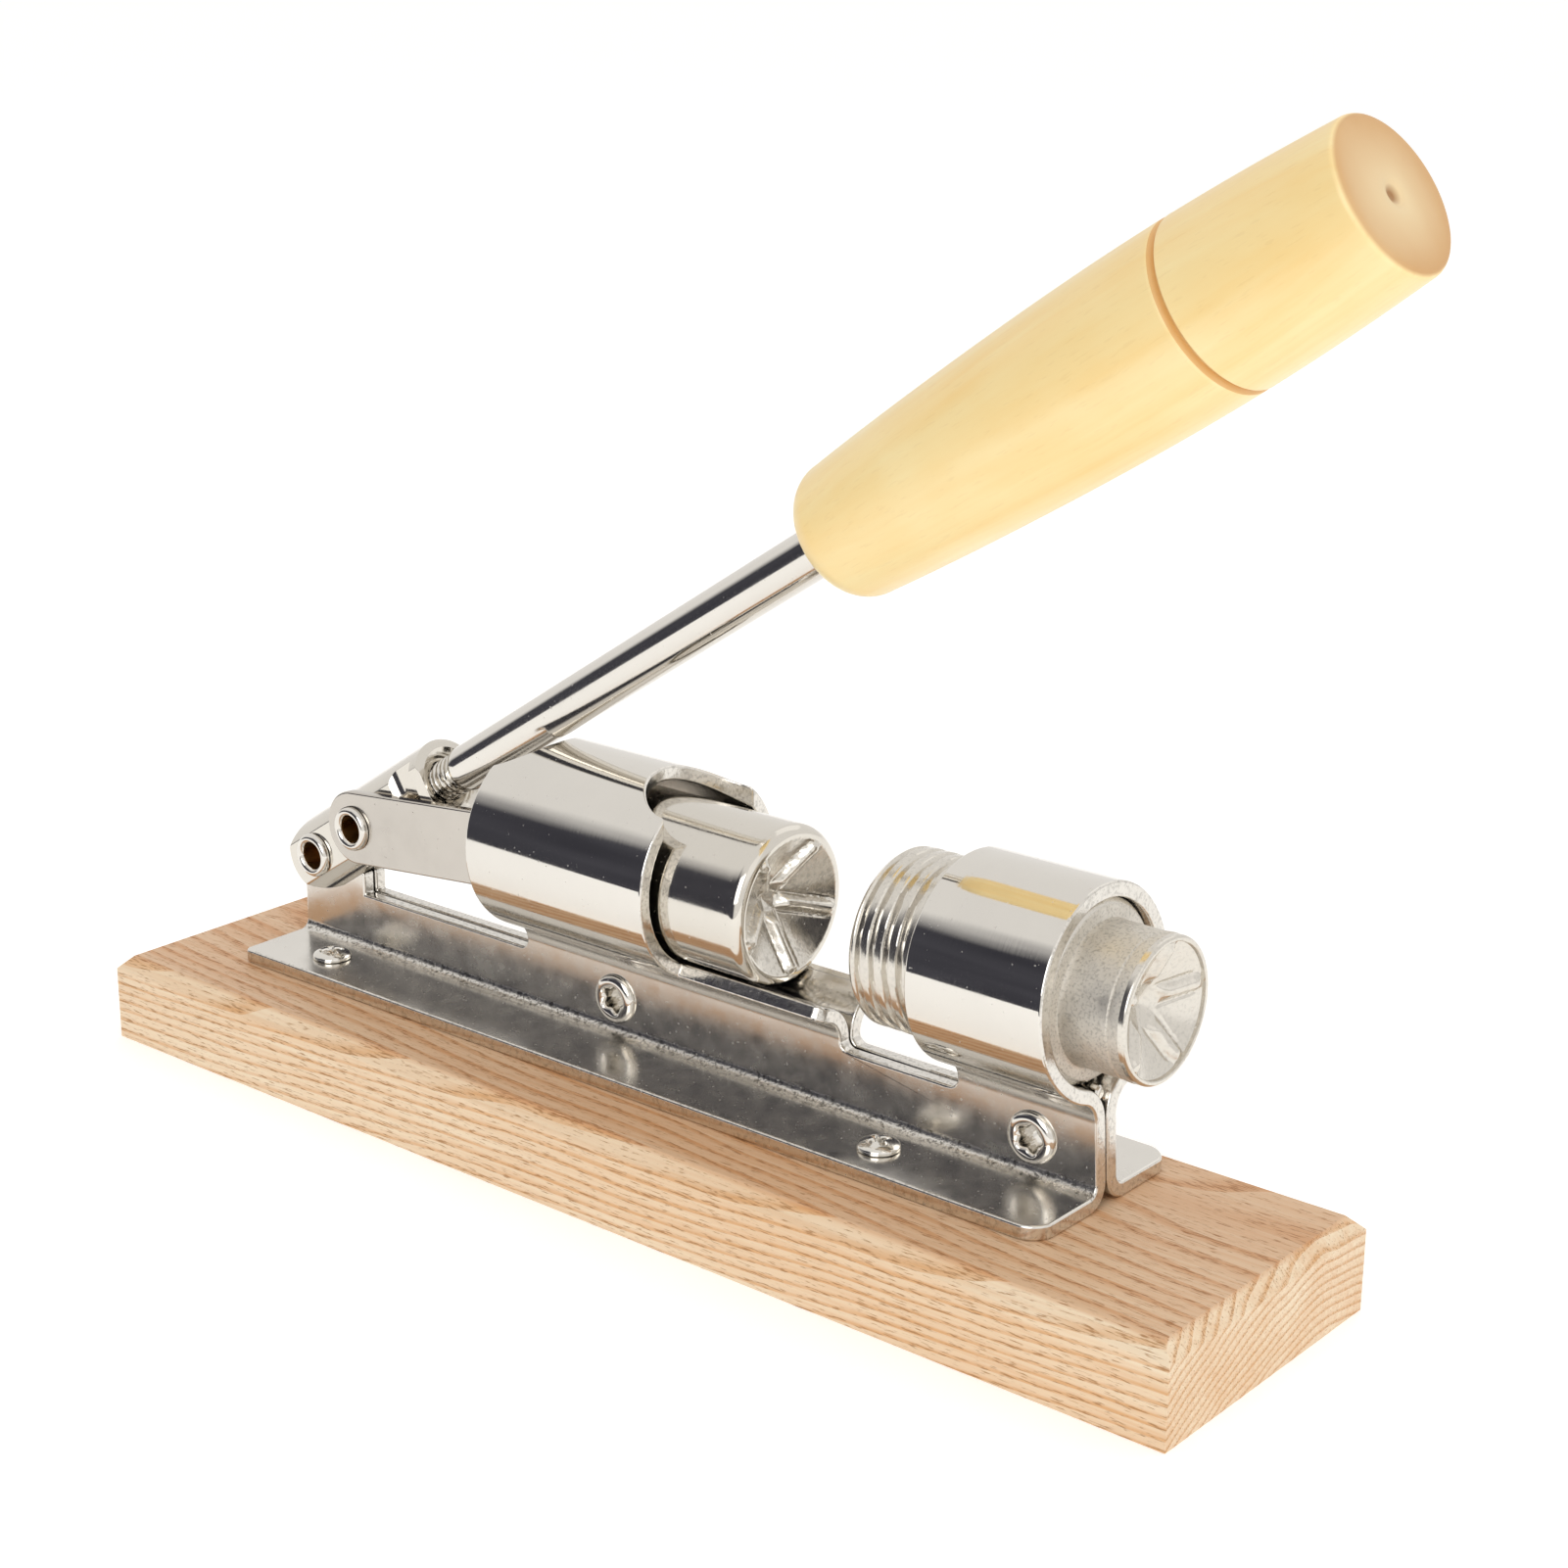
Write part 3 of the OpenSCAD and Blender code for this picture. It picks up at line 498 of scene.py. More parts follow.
def rib_tree():
    """Raises rounded ribs that run from near the middle of a cup to its rim."""
    tree = new_tree("cup_ribs")
    tree_input(tree, "Ribs", "NodeSocketInt", 5)
    for name, value in (
        ("Width", 2 * MM), ("Height", 1.5 * MM), ("Inner radius", 2 * MM), ("Outer radius", 12 * MM),
        ("Turn", 0.0), ("Wander", 0.0)
    ):
        tree_input(tree, name, "NodeSocketFloat", value)
    given = add(tree, "NodeGroupInput").outputs
    place, _, _, radius, turn = polar(tree)
    shifted = calc(tree, "SUBTRACT", turn, given["Turn"])
    step = calc(tree, "DIVIDE", 2 * math.pi, given["Ribs"])
    count = calc(tree, "DIVIDE", shifted, step)
    nearest = calc(tree, "ROUND", count)
    off = calc(tree, "SUBTRACT", count, nearest)
    angle = calc(tree, "MULTIPLY", off, step)
    sine = calc(tree, "SINE", angle)
    side = calc(tree, "MULTIPLY", sine, radius)
    # a casting is never even: each rib's foot wanders by a fraction of a millimetre
    uneven = noise(tree, place, 330.0, 1.0)
    drift = calc(tree, "SUBTRACT", uneven, 0.5)
    from_middle = calc(tree, "MULTIPLY_ADD", drift, given["Wander"], side)
    relative = calc(tree, "DIVIDE", from_middle, given["Width"])
    away = calc(tree, "ABSOLUTE", relative)
    # a flat-backed rib with steep flanks and a shallow hollow along each foot
    flank = add(tree, "ShaderNodeValToRGB", {"Fac": away})
    flank.color_ramp.interpolation = "B_SPLINE"
    set_ramp(flank.color_ramp, (0.0, 1.0), (0.3, 0.97), (0.62, 0.2), (0.78, 0.0), (0.98, 0.2))
    over_ground = calc(tree, "SUBTRACT", flank, 0.2)
    back = calc(tree, "MULTIPLY", over_ground, 1.25)
    grown = calc(tree, "ADD", given["Inner radius"], 1.8 * MM)
    rise = spread(tree, radius, given["Inner radius"], grown, smooth=True)
    fading = calc(tree, "SUBTRACT", given["Outer radius"], 2.2 * MM)
    fade = spread(tree, radius, fading, given["Outer radius"], 1.0, 0.0, smooth=True)
    cup = add(tree, "GeometryNodeInputNamedAttribute", {"Name": "cup"}, data_type="FLOAT")
    height = back
    for factor in (rise, fade, given["Height"], cup):
        height = calc(tree, "MULTIPLY", height, factor)
    lift = add(tree, "ShaderNodeCombineXYZ", {"Z": height})
    moved = add(tree, "GeometryNodeSetPosition", {"Geometry": given["Geometry"], "Offset": lift})
    end_tree(tree, given, moved)
    return tree


def row_tree():
    """Sets copies of one fastener on a grid, each turned by chance round its own axis."""
    tree = new_tree("fastener_rows")
    tree_input(tree, "Columns", "NodeSocketInt", 2)
    tree_input(tree, "Rows", "NodeSocketInt", 1)
    for name in ("Start", "Column step", "Row step", "Lean"):
        tree_input(tree, name, "NodeSocketVector")
    tree_input(tree, "Seed", "NodeSocketInt", 3)
    given = add(tree, "NodeGroupInput").outputs
    column = add(
        tree, "GeometryNodeMeshLine",
        {"Count": given["Columns"], "Start Location": given["Start"], "Offset": given["Column step"]}
    )
    row = add(tree, "GeometryNodeMeshLine", {"Count": given["Rows"], "Offset": given["Row step"]})
    spots = add(tree, "GeometryNodeInstanceOnPoints", {"Points": column, "Instance": row})
    real = add(tree, "GeometryNodeRealizeInstances", {"Geometry": spots})
    lean = add(tree, "FunctionNodeEulerToRotation", {0: given["Lean"]})
    placed = add(
        tree, "GeometryNodeInstanceOnPoints",
        {"Points": real, "Instance": given["Geometry"], "Rotation": lean}
    )
    chance = add(
        tree, "FunctionNodeRandomValue",
        {"Min": (0, 0, 0), "Max": (0, 0, 2 * math.pi), "Seed": given["Seed"]}, data_type="FLOAT_VECTOR"
    )
    twist = add(tree, "FunctionNodeEulerToRotation", {0: chance})
    turned_copies = add(
        tree, "GeometryNodeRotateInstances", {"Instances": placed, "Rotation": twist, "Local Space": True}
    )
    end_tree(tree, given, turned_copies)
    return tree


def grow(made, tree, finish, **values):
    """Runs a geometry tree on an object and keeps the result as its plain mesh."""
    step = made.modifiers.new(tree.name, "NODES")
    step.node_group = tree
    for item in tree.interface.items_tree:
        if item.in_out == "INPUT" and item.name != "Geometry":
            key = item.name.lower().replace(" ", "_").replace("-", "_")
            if item.name == "Material":
                step[item.identifier] = finish_named(finish)
            elif key in values:
                step[item.identifier] = values[key]
    return plain_mesh(made)


def keep(made, finishes, body, slot, *nodes):
    """Gives a finished piece its materials and body, and puts it in the place of CAD nodes; slot is not used.
    """
    made.data.materials.clear()
    for name in finishes:
        made.data.materials.append(finish_named(name))
    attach(made, body)
    if nodes:
        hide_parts(*nodes)
    return made


# the plated finishes: tint is a hex colour or one of the panel's two colours
PLATED = {
    # bright nickel over rolled sheet: it mirrors the room in slow waves
    "nickel_pressed_sheet": dict(
        tint="plating", rough=0.2, wave=0.09, grain=0.002, grain_size=0.5, wear_and_shade=0.05, even=260.0
    ),
    # the barrels were buffed before plating: nearly a mirror, with fine lines round them
    "nickel_polished_barrel": dict(
        tint="plating", rough=0.05, wave=0.012, grain=0.0006, grain_size=0.5, wear_and_shade=0.05
    ),
    # nickel over a sheared edge: bright, with the torn ground of the cut under it
    "nickel_sheared_edge": dict(
        tint="plating", rough=0.16, wave=0.03, grain=0.03, grain_size=0.7, wear_and_shade=0.08, even=400.0, flecked=0.3
    ),
    # the sheet's skin is drawn rough in the fold, like orange peel
    "nickel_strained_fold": dict(
        tint="plating", rough=0.2, wave=0.03, grain=0.1, grain_size=0.7, wear_and_shade=0.08, even=400.0, flecked=0.75
    ),
    # bright nickel over turned steel: a clean mirror
    "nickel_turned": dict(tint="plating", rough=0.08, wave=0.012, grain=0.0008, grain_size=0.4, wear_and_shade=0.06),
    # nickel over punched strip: softer, with a fine ground
    "nickel_satin_strip": dict(
        tint="#cbc5bd", rough=0.14, wave=0.03, grain=0.0015, grain_size=0.5, even=300.0
    ),
    # nickel over a polished casting: nearly a mirror, with the casting's small waves
    "nickel_polished_casting": dict(
        tint="casting", rough=0.08, wave=0.03, grain=0.0015, grain_size=0.5, wear_and_shade=0.08
    ),
    # the ram's cup keeps the mould's uneven, sandy ground under the nickel
    "nickel_cast_cup": dict(
        tint="casting", rough=0.14, wave=0.12, grain=0.02, grain_size=0.8, wear_and_shade=0.14, even=300.0, flecked=0.25
    ),
    # nickel over a smooth casting: blurred mirror
    "nickel_casting": dict(
        tint="casting", rough=0.16, wave=0.05, grain=0.006, grain_size=0.6, even=300.0, flecked=0.12
    ),
    # the anvil's small end was blasted before plating: even, matt and slightly pitted
    "nickel_blasted_casting": dict(
        tint="casting", rough=0.5, wave=0.04, grain=0.05, grain_size=0.45, wear_and_shade=0.1, even=300.0, flecked=0.3
    ),
    # the bare brass of the rivets' tubes
    "brass_tube": dict(tint="#b08a55", rough=0.3, wave=0.02, grain=0.003, grain_size=0.4),
}


def finish_named(name):
    """The material of one finish, made when it is first asked for."""
    if name in bpy.data.materials:
        return bpy.data.materials[name]
    if name == "oak_waxed":
        return oak(name, "#efe0c6", "#d8a877", "#a87b4e")
    if name == "hardwood_lacquered":
        return lacquered_wood(name, "#ffe9b0", "#fbd890", "#cf9f66")
    values = dict(PLATED[name])
    tint = values.pop("tint")
    if not tint.startswith("#"):
        tint = getattr(bpy.context.scene.nutcracker_finish, tint)
    return nickel(name, tint, **values)


def size_property(name, description, default):
    """A length in metres that the panel shows."""
    return bpy.props.FloatProperty(
        name=name, description=description, default=default, min=0, subtype="DISTANCE", unit="LENGTH"
    )


class NutcrackerSizes(bpy.types.PropertyGroup):
    sheet_edge: size_property("Sheet edge", "Rounding of the punched sheet's edges", 0.45 * MM)
    board_edge: size_property("Board edge", "Rounding of the board's arrises", 0.5 * MM)
    anvil_pitch: size_property("Anvil thread pitch", "Distance between the anvil's threads", 2.7 * MM)
    rod_pitch: size_property("Rod thread pitch", "Distance between the rod's threads", 1.25 * MM)
    rib_height: size_property("Rib height", "Height of the ribs in the cups", 1.5 * MM)


class NutcrackerFinish(bpy.types.PropertyGroup):
    plating: bpy.props.StringProperty(
        name="Plating", description="Nickel plating, sRGB hex", default="#e5e1da"
    )
    casting: bpy.props.StringProperty(
        name="Casting", description="Plated casting, sRGB hex", default="#e0dbd2"
    )


class NUTCRACKER_OT_board(bpy.types.Operator):
    """Oak board with broken arrises"""

    bl_idname = "nutcracker.board"
    bl_label = "Board"

    def execute(self, context):
        made = dressed_copy("base_board", "board", context.scene.nutcracker_sizes.board_edge / MM, sharp=20.0)
        keep(made, ["oak_waxed"], "stand", "board_wood", "base_board")
        return {"FINISHED"}


class NUTCRACKER_OT_sheet_frame(bpy.types.Operator):
    """Folded sheet frame with its punched edges broken"""

    bl_idname = "nutcracker.sheet_frame"
    bl_label = "Sheet frame"

    def execute(self, context):
        edge = context.scene.nutcracker_sizes.sheet_edge / MM
        made = dressed_copy("frame", "sheet_frame", edge, weld=0.2, mend=close_front_corners)
        zones = [
            "nickel_pressed_sheet", "nickel_sheared_edge", "nickel_strained_fold", "nickel_polished_barrel"
        ]
        keep(made, zones, "stand", "plated_sheet", "frame")
        for face in made.data.polygons:
            face.material_index = sheet_zone(face.center, face.normal)
        return {"FINISHED"}


def close_front_corners(shape):
    """Draws the slivers where the leaning front meets a flange's round corner together in one point."""
    front = max(vertex.co.x for vertex in shape.verts)
    for side in (-1, 1):
        near = [
            v for v in shape.verts
            if v.co.x > front - 0.07 * MM and v.co.z < BOARD_TOP + 1.2 * MM
            and (v.co.y - MID_Y) * side > 13.65 * MM
        ]
        if near:
            low = [v for v in near if v.co.z < BOARD_TOP + 0.01 * MM]
            corner = max(low, key=lambda v: abs(v.co.y - MID_Y))
            bmesh.ops.pointmerge(shape, verts=near, merge_co=corner.co.copy())


def sheet_zone(place, normal):
    """0 for the sheet's own skin, 1 for its cut edges, 2 for the fold at the flanges, 3 for the barrels."""
    side = abs(place.y - MID_Y) / MM
    above = (place.z - FLANGE_TOP) / MM
    radius = math.hypot(place.y - MID_Y, place.z - AXIS_Z) / MM
    outward = (normal.y * (place.y - MID_Y) + normal.z * (place.z - AXIS_Z)) / MM
    barrel_skin = BORE + SHEET / MM - 0.05
    if BORE + 0.05 < radius < barrel_skin:
        return 1
    if abs(normal.x) > 0.75 or (above < 0 and side > 17):
        return 1
    if NOTCH - 0.6 < place.z / MM < NOTCH + 1.6 and side < 2.7 and normal.z > 0.2:
        return 1
    if -0.1 < above < 1.85 and normal.z > 0.12 and abs(normal.y) > 0.12 and side < 4.7:
        return 2
    if radius >= barrel_skin and outward > 0.9 * radius:
        return 3
    return 0


class NUTCRACKER_OT_flange_screws(bpy.types.Operator):
    """Four wood screws with pan heads and cross recesses"""

    bl_idname = "nutcracker.flange_screws"
    bl_label = "Flange screws"

    def execute(self, context):
        head_r, head_h, side_h = 3.5, 1.69, 0.45
        profile = [
            (0, -12), (0.8, -12), *line((1.6, -11.2), (1.6, -0.3), 2), (1.6, 0.0), (head_r - 0.25, 0.0),
            (head_r, 0.18), (head_r, side_h)
        ]
        for i in range(26):
            turn = math.radians(4 + 86 * i / 26)
            profile.append((head_r * math.cos(turn), side_h + (head_h - side_h) * math.sin(turn)))
        profile.append((0, head_h))
        made = turned("flange_screws", profile, 96)
        for vertex in made.data.vertices:
            x, y, z = (c / MM for c in vertex.co)
            r = math.hypot(x, y)
            if z < 0.5 or r > 2.6:
                continue
            # tapered cross: wings 0.9 mm wide, deepest in the middle
            wing = min(abs(x), abs(y))
            reach = 1 - min(max((max(abs(x), abs(y)) - 1.7) / 0.45, 0), 1)
            slot = 1 - min(max((wing - 0.4) / 0.2, 0), 1)
            vertex.co.z -= 1.25 * MM * slot * reach * (1 - 0.22 * r)
        first, last = middle("screw_rear_near"), middle("screw_front_far")
        steps = dict(column_step=(last[0] - first[0], 0, 0), row_step=(0, last[1] - first[1], 0))
        grow(
            made, row_tree(), "nickel_turned", columns=2, rows=2, start=(first[0], first[1], FLANGE_TOP),
            seed=4, **steps
        )
        finish_mesh(made, sharp=50)
        nodes = [f"screw_{end}_{side}" for end in ("rear", "front") for side in ("near", "far")]
        keep(made, ["nickel_turned"], "stand", "screw_metal", *nodes)
        return {"FINISHED"}


def tube_rivet(name, grip, shank, hole, head, rolled, lobes=0, around=96):
    """A tubular rivet along z with rolled heads, all sizes in mm; lobes splits its mouth in a star."""
    mouth = [
        ((hole + head) / 2 + (head - hole) / 2 * math.cos(a), grip + rolled * (0.08 + 0.92 * math.sin(a)))
        for a in (math.radians(180 - 180 * i / 22) for i in range(1, 22))
    ]
    upper = [
        (hole, grip * 0.5), *mouth, (head, grip + 0.05 * rolled), (head - 0.15, grip), (shank, grip),
        (shank, grip * 0.5)
    ]
    lower = [(r, -z) for r, z in reversed(upper)]
    made = turned(name, upper + lower, around)
    if lobes:
        for vertex in made.data.vertices:
            x, y, z = vertex.co
            r = math.hypot(x, y) / MM
            if abs(z) / MM > grip * 0.9 and r < (hole + head) / 2:
                turn = math.atan2(y, x)
                pull = (1 - (r - hole) / ((head - hole) / 2)) * 0.6 * abs(math.cos(lobes * turn / 2)) ** 2
                scale = (r + pull) / r
                vertex.co.x *= scale
                vertex.co.y *= scale
    return made


class NUTCRACKER_OT_rivets(bpy.types.Operator):
    """Tubular rivets: two through the webs, the lever's pivot and the link pin"""

    bl_idname = "nutcracker.rivets"
    bl_label = "Rivets"

    def execute(self, context):
        start = middle("web_rivet_rear")
        step = (middle("web_rivet_front")[0] - start[0], 0, 0)
        made = tube_rivet("web_rivets", grip=2.7, shank=2.5, hole=1.7, head=4.4, rolled=1.15, lobes=5)
        grow(
            made, row_tree(), "nickel_turned", columns=2, rows=1, start=start, column_step=step,
            lean=(math.pi / 2, 0, 0), seed=2
        )
        finish_mesh(made, sharp=60)
        keep(made, ["nickel_turned"], "stand", "rivet_metal", "web_rivet_rear", "web_rivet_front")
        for name, node, body, place in (
            ("pivot_eyelet", "pivot_rivet", "stand", PIVOT),
            ("link_eyelet", "link_rivet", "lever", LINK_PIN),
        ):
            low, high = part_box(node)
            half = (high[1] - low[1]) / 2 / MM
            made = tube_rivet(name, grip=half - 1.2, shank=2.8, hole=2.4, head=4.1, rolled=1.2)
            finish_mesh(made, Matrix.Translation(place) @ Matrix.Rotation(math.pi / 2, 4, "X"), 60)
            keep(made, ["nickel_turned", "brass_tube"], body, "rivet_metal", node)
            # the tube's bore is bare brass
            for face in made.data.polygons:
                if math.hypot(face.center.x - place.x, face.center.z - place.z) < 2.45 * MM:
                    face.material_index = 1
        low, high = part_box("ram_pin")
        half = (high[1] - low[1]) / 2 / MM
        profile = [
            (0, -half), (3.2, -half), (3.5, 0.25 - half), (3.5, 0.7 - half), (2.5, 0.8 - half),
            (2.5, half - 0.8), (3.5, half - 0.7), (3.5, half - 0.25), (3.2, half), (0, half)
        ]
        made = turned("ram_pin_turned", profile, 64)
        finish_mesh(made, Matrix.Translation(middle("ram_pin")) @ Matrix.Rotation(math.pi / 2, 4, "X"))
        keep(made, ["nickel_turned"], "links", "rivet_metal", "ram_pin")
        return {"FINISHED"}


class NUTCRACKER_OT_neck_rod(bpy.types.Operator):
    """Round rod in the neck of the front barrel"""

    bl_idname = "nutcracker.neck_rod"
    bl_label = "Neck rod"

    def execute(self, context):
        low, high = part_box("neck_rod")
        radius = (high[2] - low[2]) / 2 / MM
        length = (high[0] - low[0]) / MM
        profile = [
            (0, 0), (radius - 0.3, 0), (radius, 0.3), (radius, length - 0.3), (radius - 0.3, length),
            (0, length)
        ]
        made = turned("neck_rod_turned", profile, 48)
        finish_mesh(made, along_x(low[0], MID_Y, (low[2] + high[2]) / 2))
        keep(made, ["nickel_turned"], "stand", "rivet_metal", "neck_rod")
        return {"FINISHED"}


class NUTCRACKER_OT_yoke(bpy.types.Operator):
    """Turned and slotted yoke with softened edges"""

    bl_idname = "nutcracker.yoke"
    bl_label = "Yoke"

    def execute(self, context):
        made = dressed_copy("yoke", "yoke_turned", edge=0.3)
        keep(made, ["nickel_polished_casting"], "lever", "lever_metal", "yoke")
        return {"FINISHED"}


class NUTCRACKER_OT_rod(bpy.types.Operator):
    """Plain rod with a threaded stud"""

    bl_idname = "nutcracker.rod"
    bl_label = "Lever rod"

    def execute(self, context):
        sizes = context.scene.nutcracker_sizes
        profile = [
            (0, 26), (3.2, 26), *line((3.7, 26.5), (3.7, 39.4), 90), (3.2, 39.7), (3.2, 40.0), (3.65, 40.0)
        ]
        profile += [(4.1, 40.5), (4.15, 40.8), *line((4.15, 42), (4.15, 162.5), 40), (4.15, 163), (0, 163)]
        made = turned("rod_turned", profile, 96)
        # the rod's own wall is thicker than the stud's and lies outside the thread's stretch
        grow(
            made, thread_tree(), "nickel_turned", pitch=sizes.rod_pitch, depth=0.6 * MM, wall_radius=3.7 * MM,
            start=26.5 * MM, end=39.4 * MM, run_out=0.4 * MM
        )
        finish_mesh(made, ON_LEVER, 35)
        keep(made, ["nickel_turned"], "lever", "lever_metal", "lever_rod")
        return {"FINISHED"}


class NUTCRACKER_OT_handle(bpy.types.Operator):
    """Turned handle with a rounded nose, one groove and a flat end"""

    bl_idname = "nutcracker.handle"
    bl_label = "Handle"

    def execute(self, context):
        start, end = 139.0, 247.4
        # radius of the turned body against the distance from the pivot, in mm
        known_s = [144.0, 148, 156, 164, 172, 180, 188, 196, 204, 212, 220, 228, 238, 246.0]
        known_r = [11.2, 11.5, 12.0, 12.5, 12.88, 13.15, 13.4, 13.58, 13.69, 13.68, 13.47, 13.15, 12.6, 11.98]
        fit = np.polyfit(known_s, known_r, 5)
        groove, nose, rim = 217.4, 5.0, 1.3
        profile = [
            (0, start + 20), (4.25, start + 20), (4.25, start + 0.4), (4.6, start),
            *line((4.9, start), (6.2, start), 2)
        ]
        profile += arc((11.2 - nose, start + nose), nose, -84, -4, 12)
        stations = [float(s) for s in np.arange(start + nose, end - rim, 0.55) if abs(s - groove) > 0.8]
        wall = [(float(np.polyval(fit, s)), s) for s in stations]
        base = float(np.polyval(fit, groove))
        profile += [point for point in wall if point[1] < groove]
        profile += [(base, groove - 0.7), (base - 0.12, groove - 0.55), (base - 0.85, groove - 0.12)]
        profile += [(base - 0.85, groove + 0.12), (base - 0.12, groove + 0.55), (base, groove + 0.7)]
        profile += [point for point in wall if point[1] > groove]
        last = float(np.polyval(fit, end - rim))
        profile += arc((last - rim, end - rim), rim, 8, 84, 8) + line((last - 2.0, end), (2.4, end), 6)
        profile += [(1.9, end - 0.15), (0.9, end - 0.75), (0.35, end - 0.9), (0, end - 0.92)]
        made = turned("handle_turned", profile, 160)
        finish_mesh(made, ON_LEVER, 50)
        keep(made, ["hardwood_lacquered"], "lever", "handle_wood", "handle")
        return {"FINISHED"}


class NUTCRACKER_OT_links(bpy.types.Operator):
    """Two flat links with broken edges"""

    bl_idname = "nutcracker.links"
    bl_label = "Links"

    def execute(self, context):
        for node in ("link_near", "link_far"):
            made = dressed_copy(node, node + "_strip", edge=0.4)
            keep(made, ["nickel_satin_strip"], "links", "link_metal", node)
        return {"FINISHED"}


class NUTCRACKER_OT_ram(bpy.types.Operator):
    """Ram: cast cup with ribs, turned wall, flat tongue with a window for the pin"""

    bl_idname = "nutcracker.ram"
    bl_label = "Ram"

    def execute(self, context):
        back = (RAM_BACK - RAM_FACE) / MM
        wall, rim, cup_r, depth, rows = 13.5, 1.9, 11.5, 6.5, 64
        profile = [(0, back), (wall - 1, back), (wall, back + 1), *line((wall, back + 2), (wall, -rim), 30)]
        profile += arc((wall - rim, -rim), rim, 6, 90, 12)
        profile += [(cup_r * (1 - i / rows), -depth * (i / rows) ** 0.96) for i in range(1, rows)]
        profile.append((0, -depth))
        inner = len(profile) - rows
        made = turned("ram_turned", profile, 240, cup=lambda i, r, z: i >= inner)
        height = context.scene.nutcracker_sizes.rib_height
        grow(
            made, rib_tree(), "nickel_polished_casting", ribs=5, width=1.9 * MM, height=height,
            inner_radius=1.8 * MM, outer_radius=12.2 * MM, turn=math.radians(146), wander=0.35 * MM
        )
        made.data.transform(along_x(RAM_FACE, MID_Y, RAM_Z))
        cut_ram_tongue(made, RAM_FACE - 31.5 * MM, middle("ram_pin"))
        finish_mesh(made, sharp=38)
        keep(made, ["nickel_polished_casting", "nickel_cast_cup"], "ram", "ram_metal", "ram")
        for face in made.data.polygons:
            x, y, z = face.center
            if x > RAM_FACE - 7 * MM and math.hypot(y - MID_Y, z - RAM_Z) < (cup_r + 0.1) * MM:
                face.material_index = 1
        return {"FINISHED"}


def box_mesh(name, low, high):
    """A closed box between two corners, used only as a cutter."""
    made = bpy.data.objects.new(name, bpy.data.meshes.new(name))
    bpy.context.scene.collection.objects.link(made)
    shape = bmesh.new()
    bmesh.ops.create_cube(shape, size=1.0)
    for vertex in shape.verts:
        vertex.co = Vector([low[i] if vertex.co[i] < 0 else high[i] for i in range(3)])
    shape.to_mesh(made.data)
    shape.free()
    return made


def cut_ram_tongue(made, tongue_front, pin):
    """Flattens the ram's rear into a tongue and cuts a window round the pin through it."""
    half = 6.4 * MM
    cutters = [
        box_mesh("side_a", (RAM_BACK - 0.01, MID_Y + half, 0), (tongue_front, 0.1, 0.2)),
        box_mesh("side_b", (RAM_BACK - 0.01, -0.1, 0), (tongue_front, MID_Y - half, 0.2)),
    ]
    # the window is a slot with round ends: the pin's radius and its room along X and Z
    wide, tall = (2.5 + 1.1) * MM, (2.5 + 3.5) * MM
    ring = []
    for first, end_z in ((0, pin[2] + tall - wide), (180, pin[2] - tall + wide)):
        for i in range(32):
            turn = math.radians(first + 180 * i / 31)
            ring.append((pin[0] + 0.6 * MM + wide * math.cos(turn), end_z + wide * math.sin(turn)))
    count = len(ring)
    points = [(x, MID_Y - 0.02, z) for x, z in ring] + [(x, MID_Y + 0.02, z) for x, z in ring]
    faces = [tuple(range(count)), tuple(range(2 * count - 1, count - 1, -1))]
    faces += [(i, i + count, (i + 1) % count + count, (i + 1) % count) for i in range(count)]
    window = mesh_object("window", points, faces)
    finish_mesh(window)
    cutters.append(window)
    for cutter in cutters:
        step = made.modifiers.new("cut", "BOOLEAN")
        step.operation = "DIFFERENCE"
        step.solver = "EXACT"
        step.object = cutter
    plain_mesh(made)
    for cutter in cutters:
        bpy.data.objects.remove(cutter)


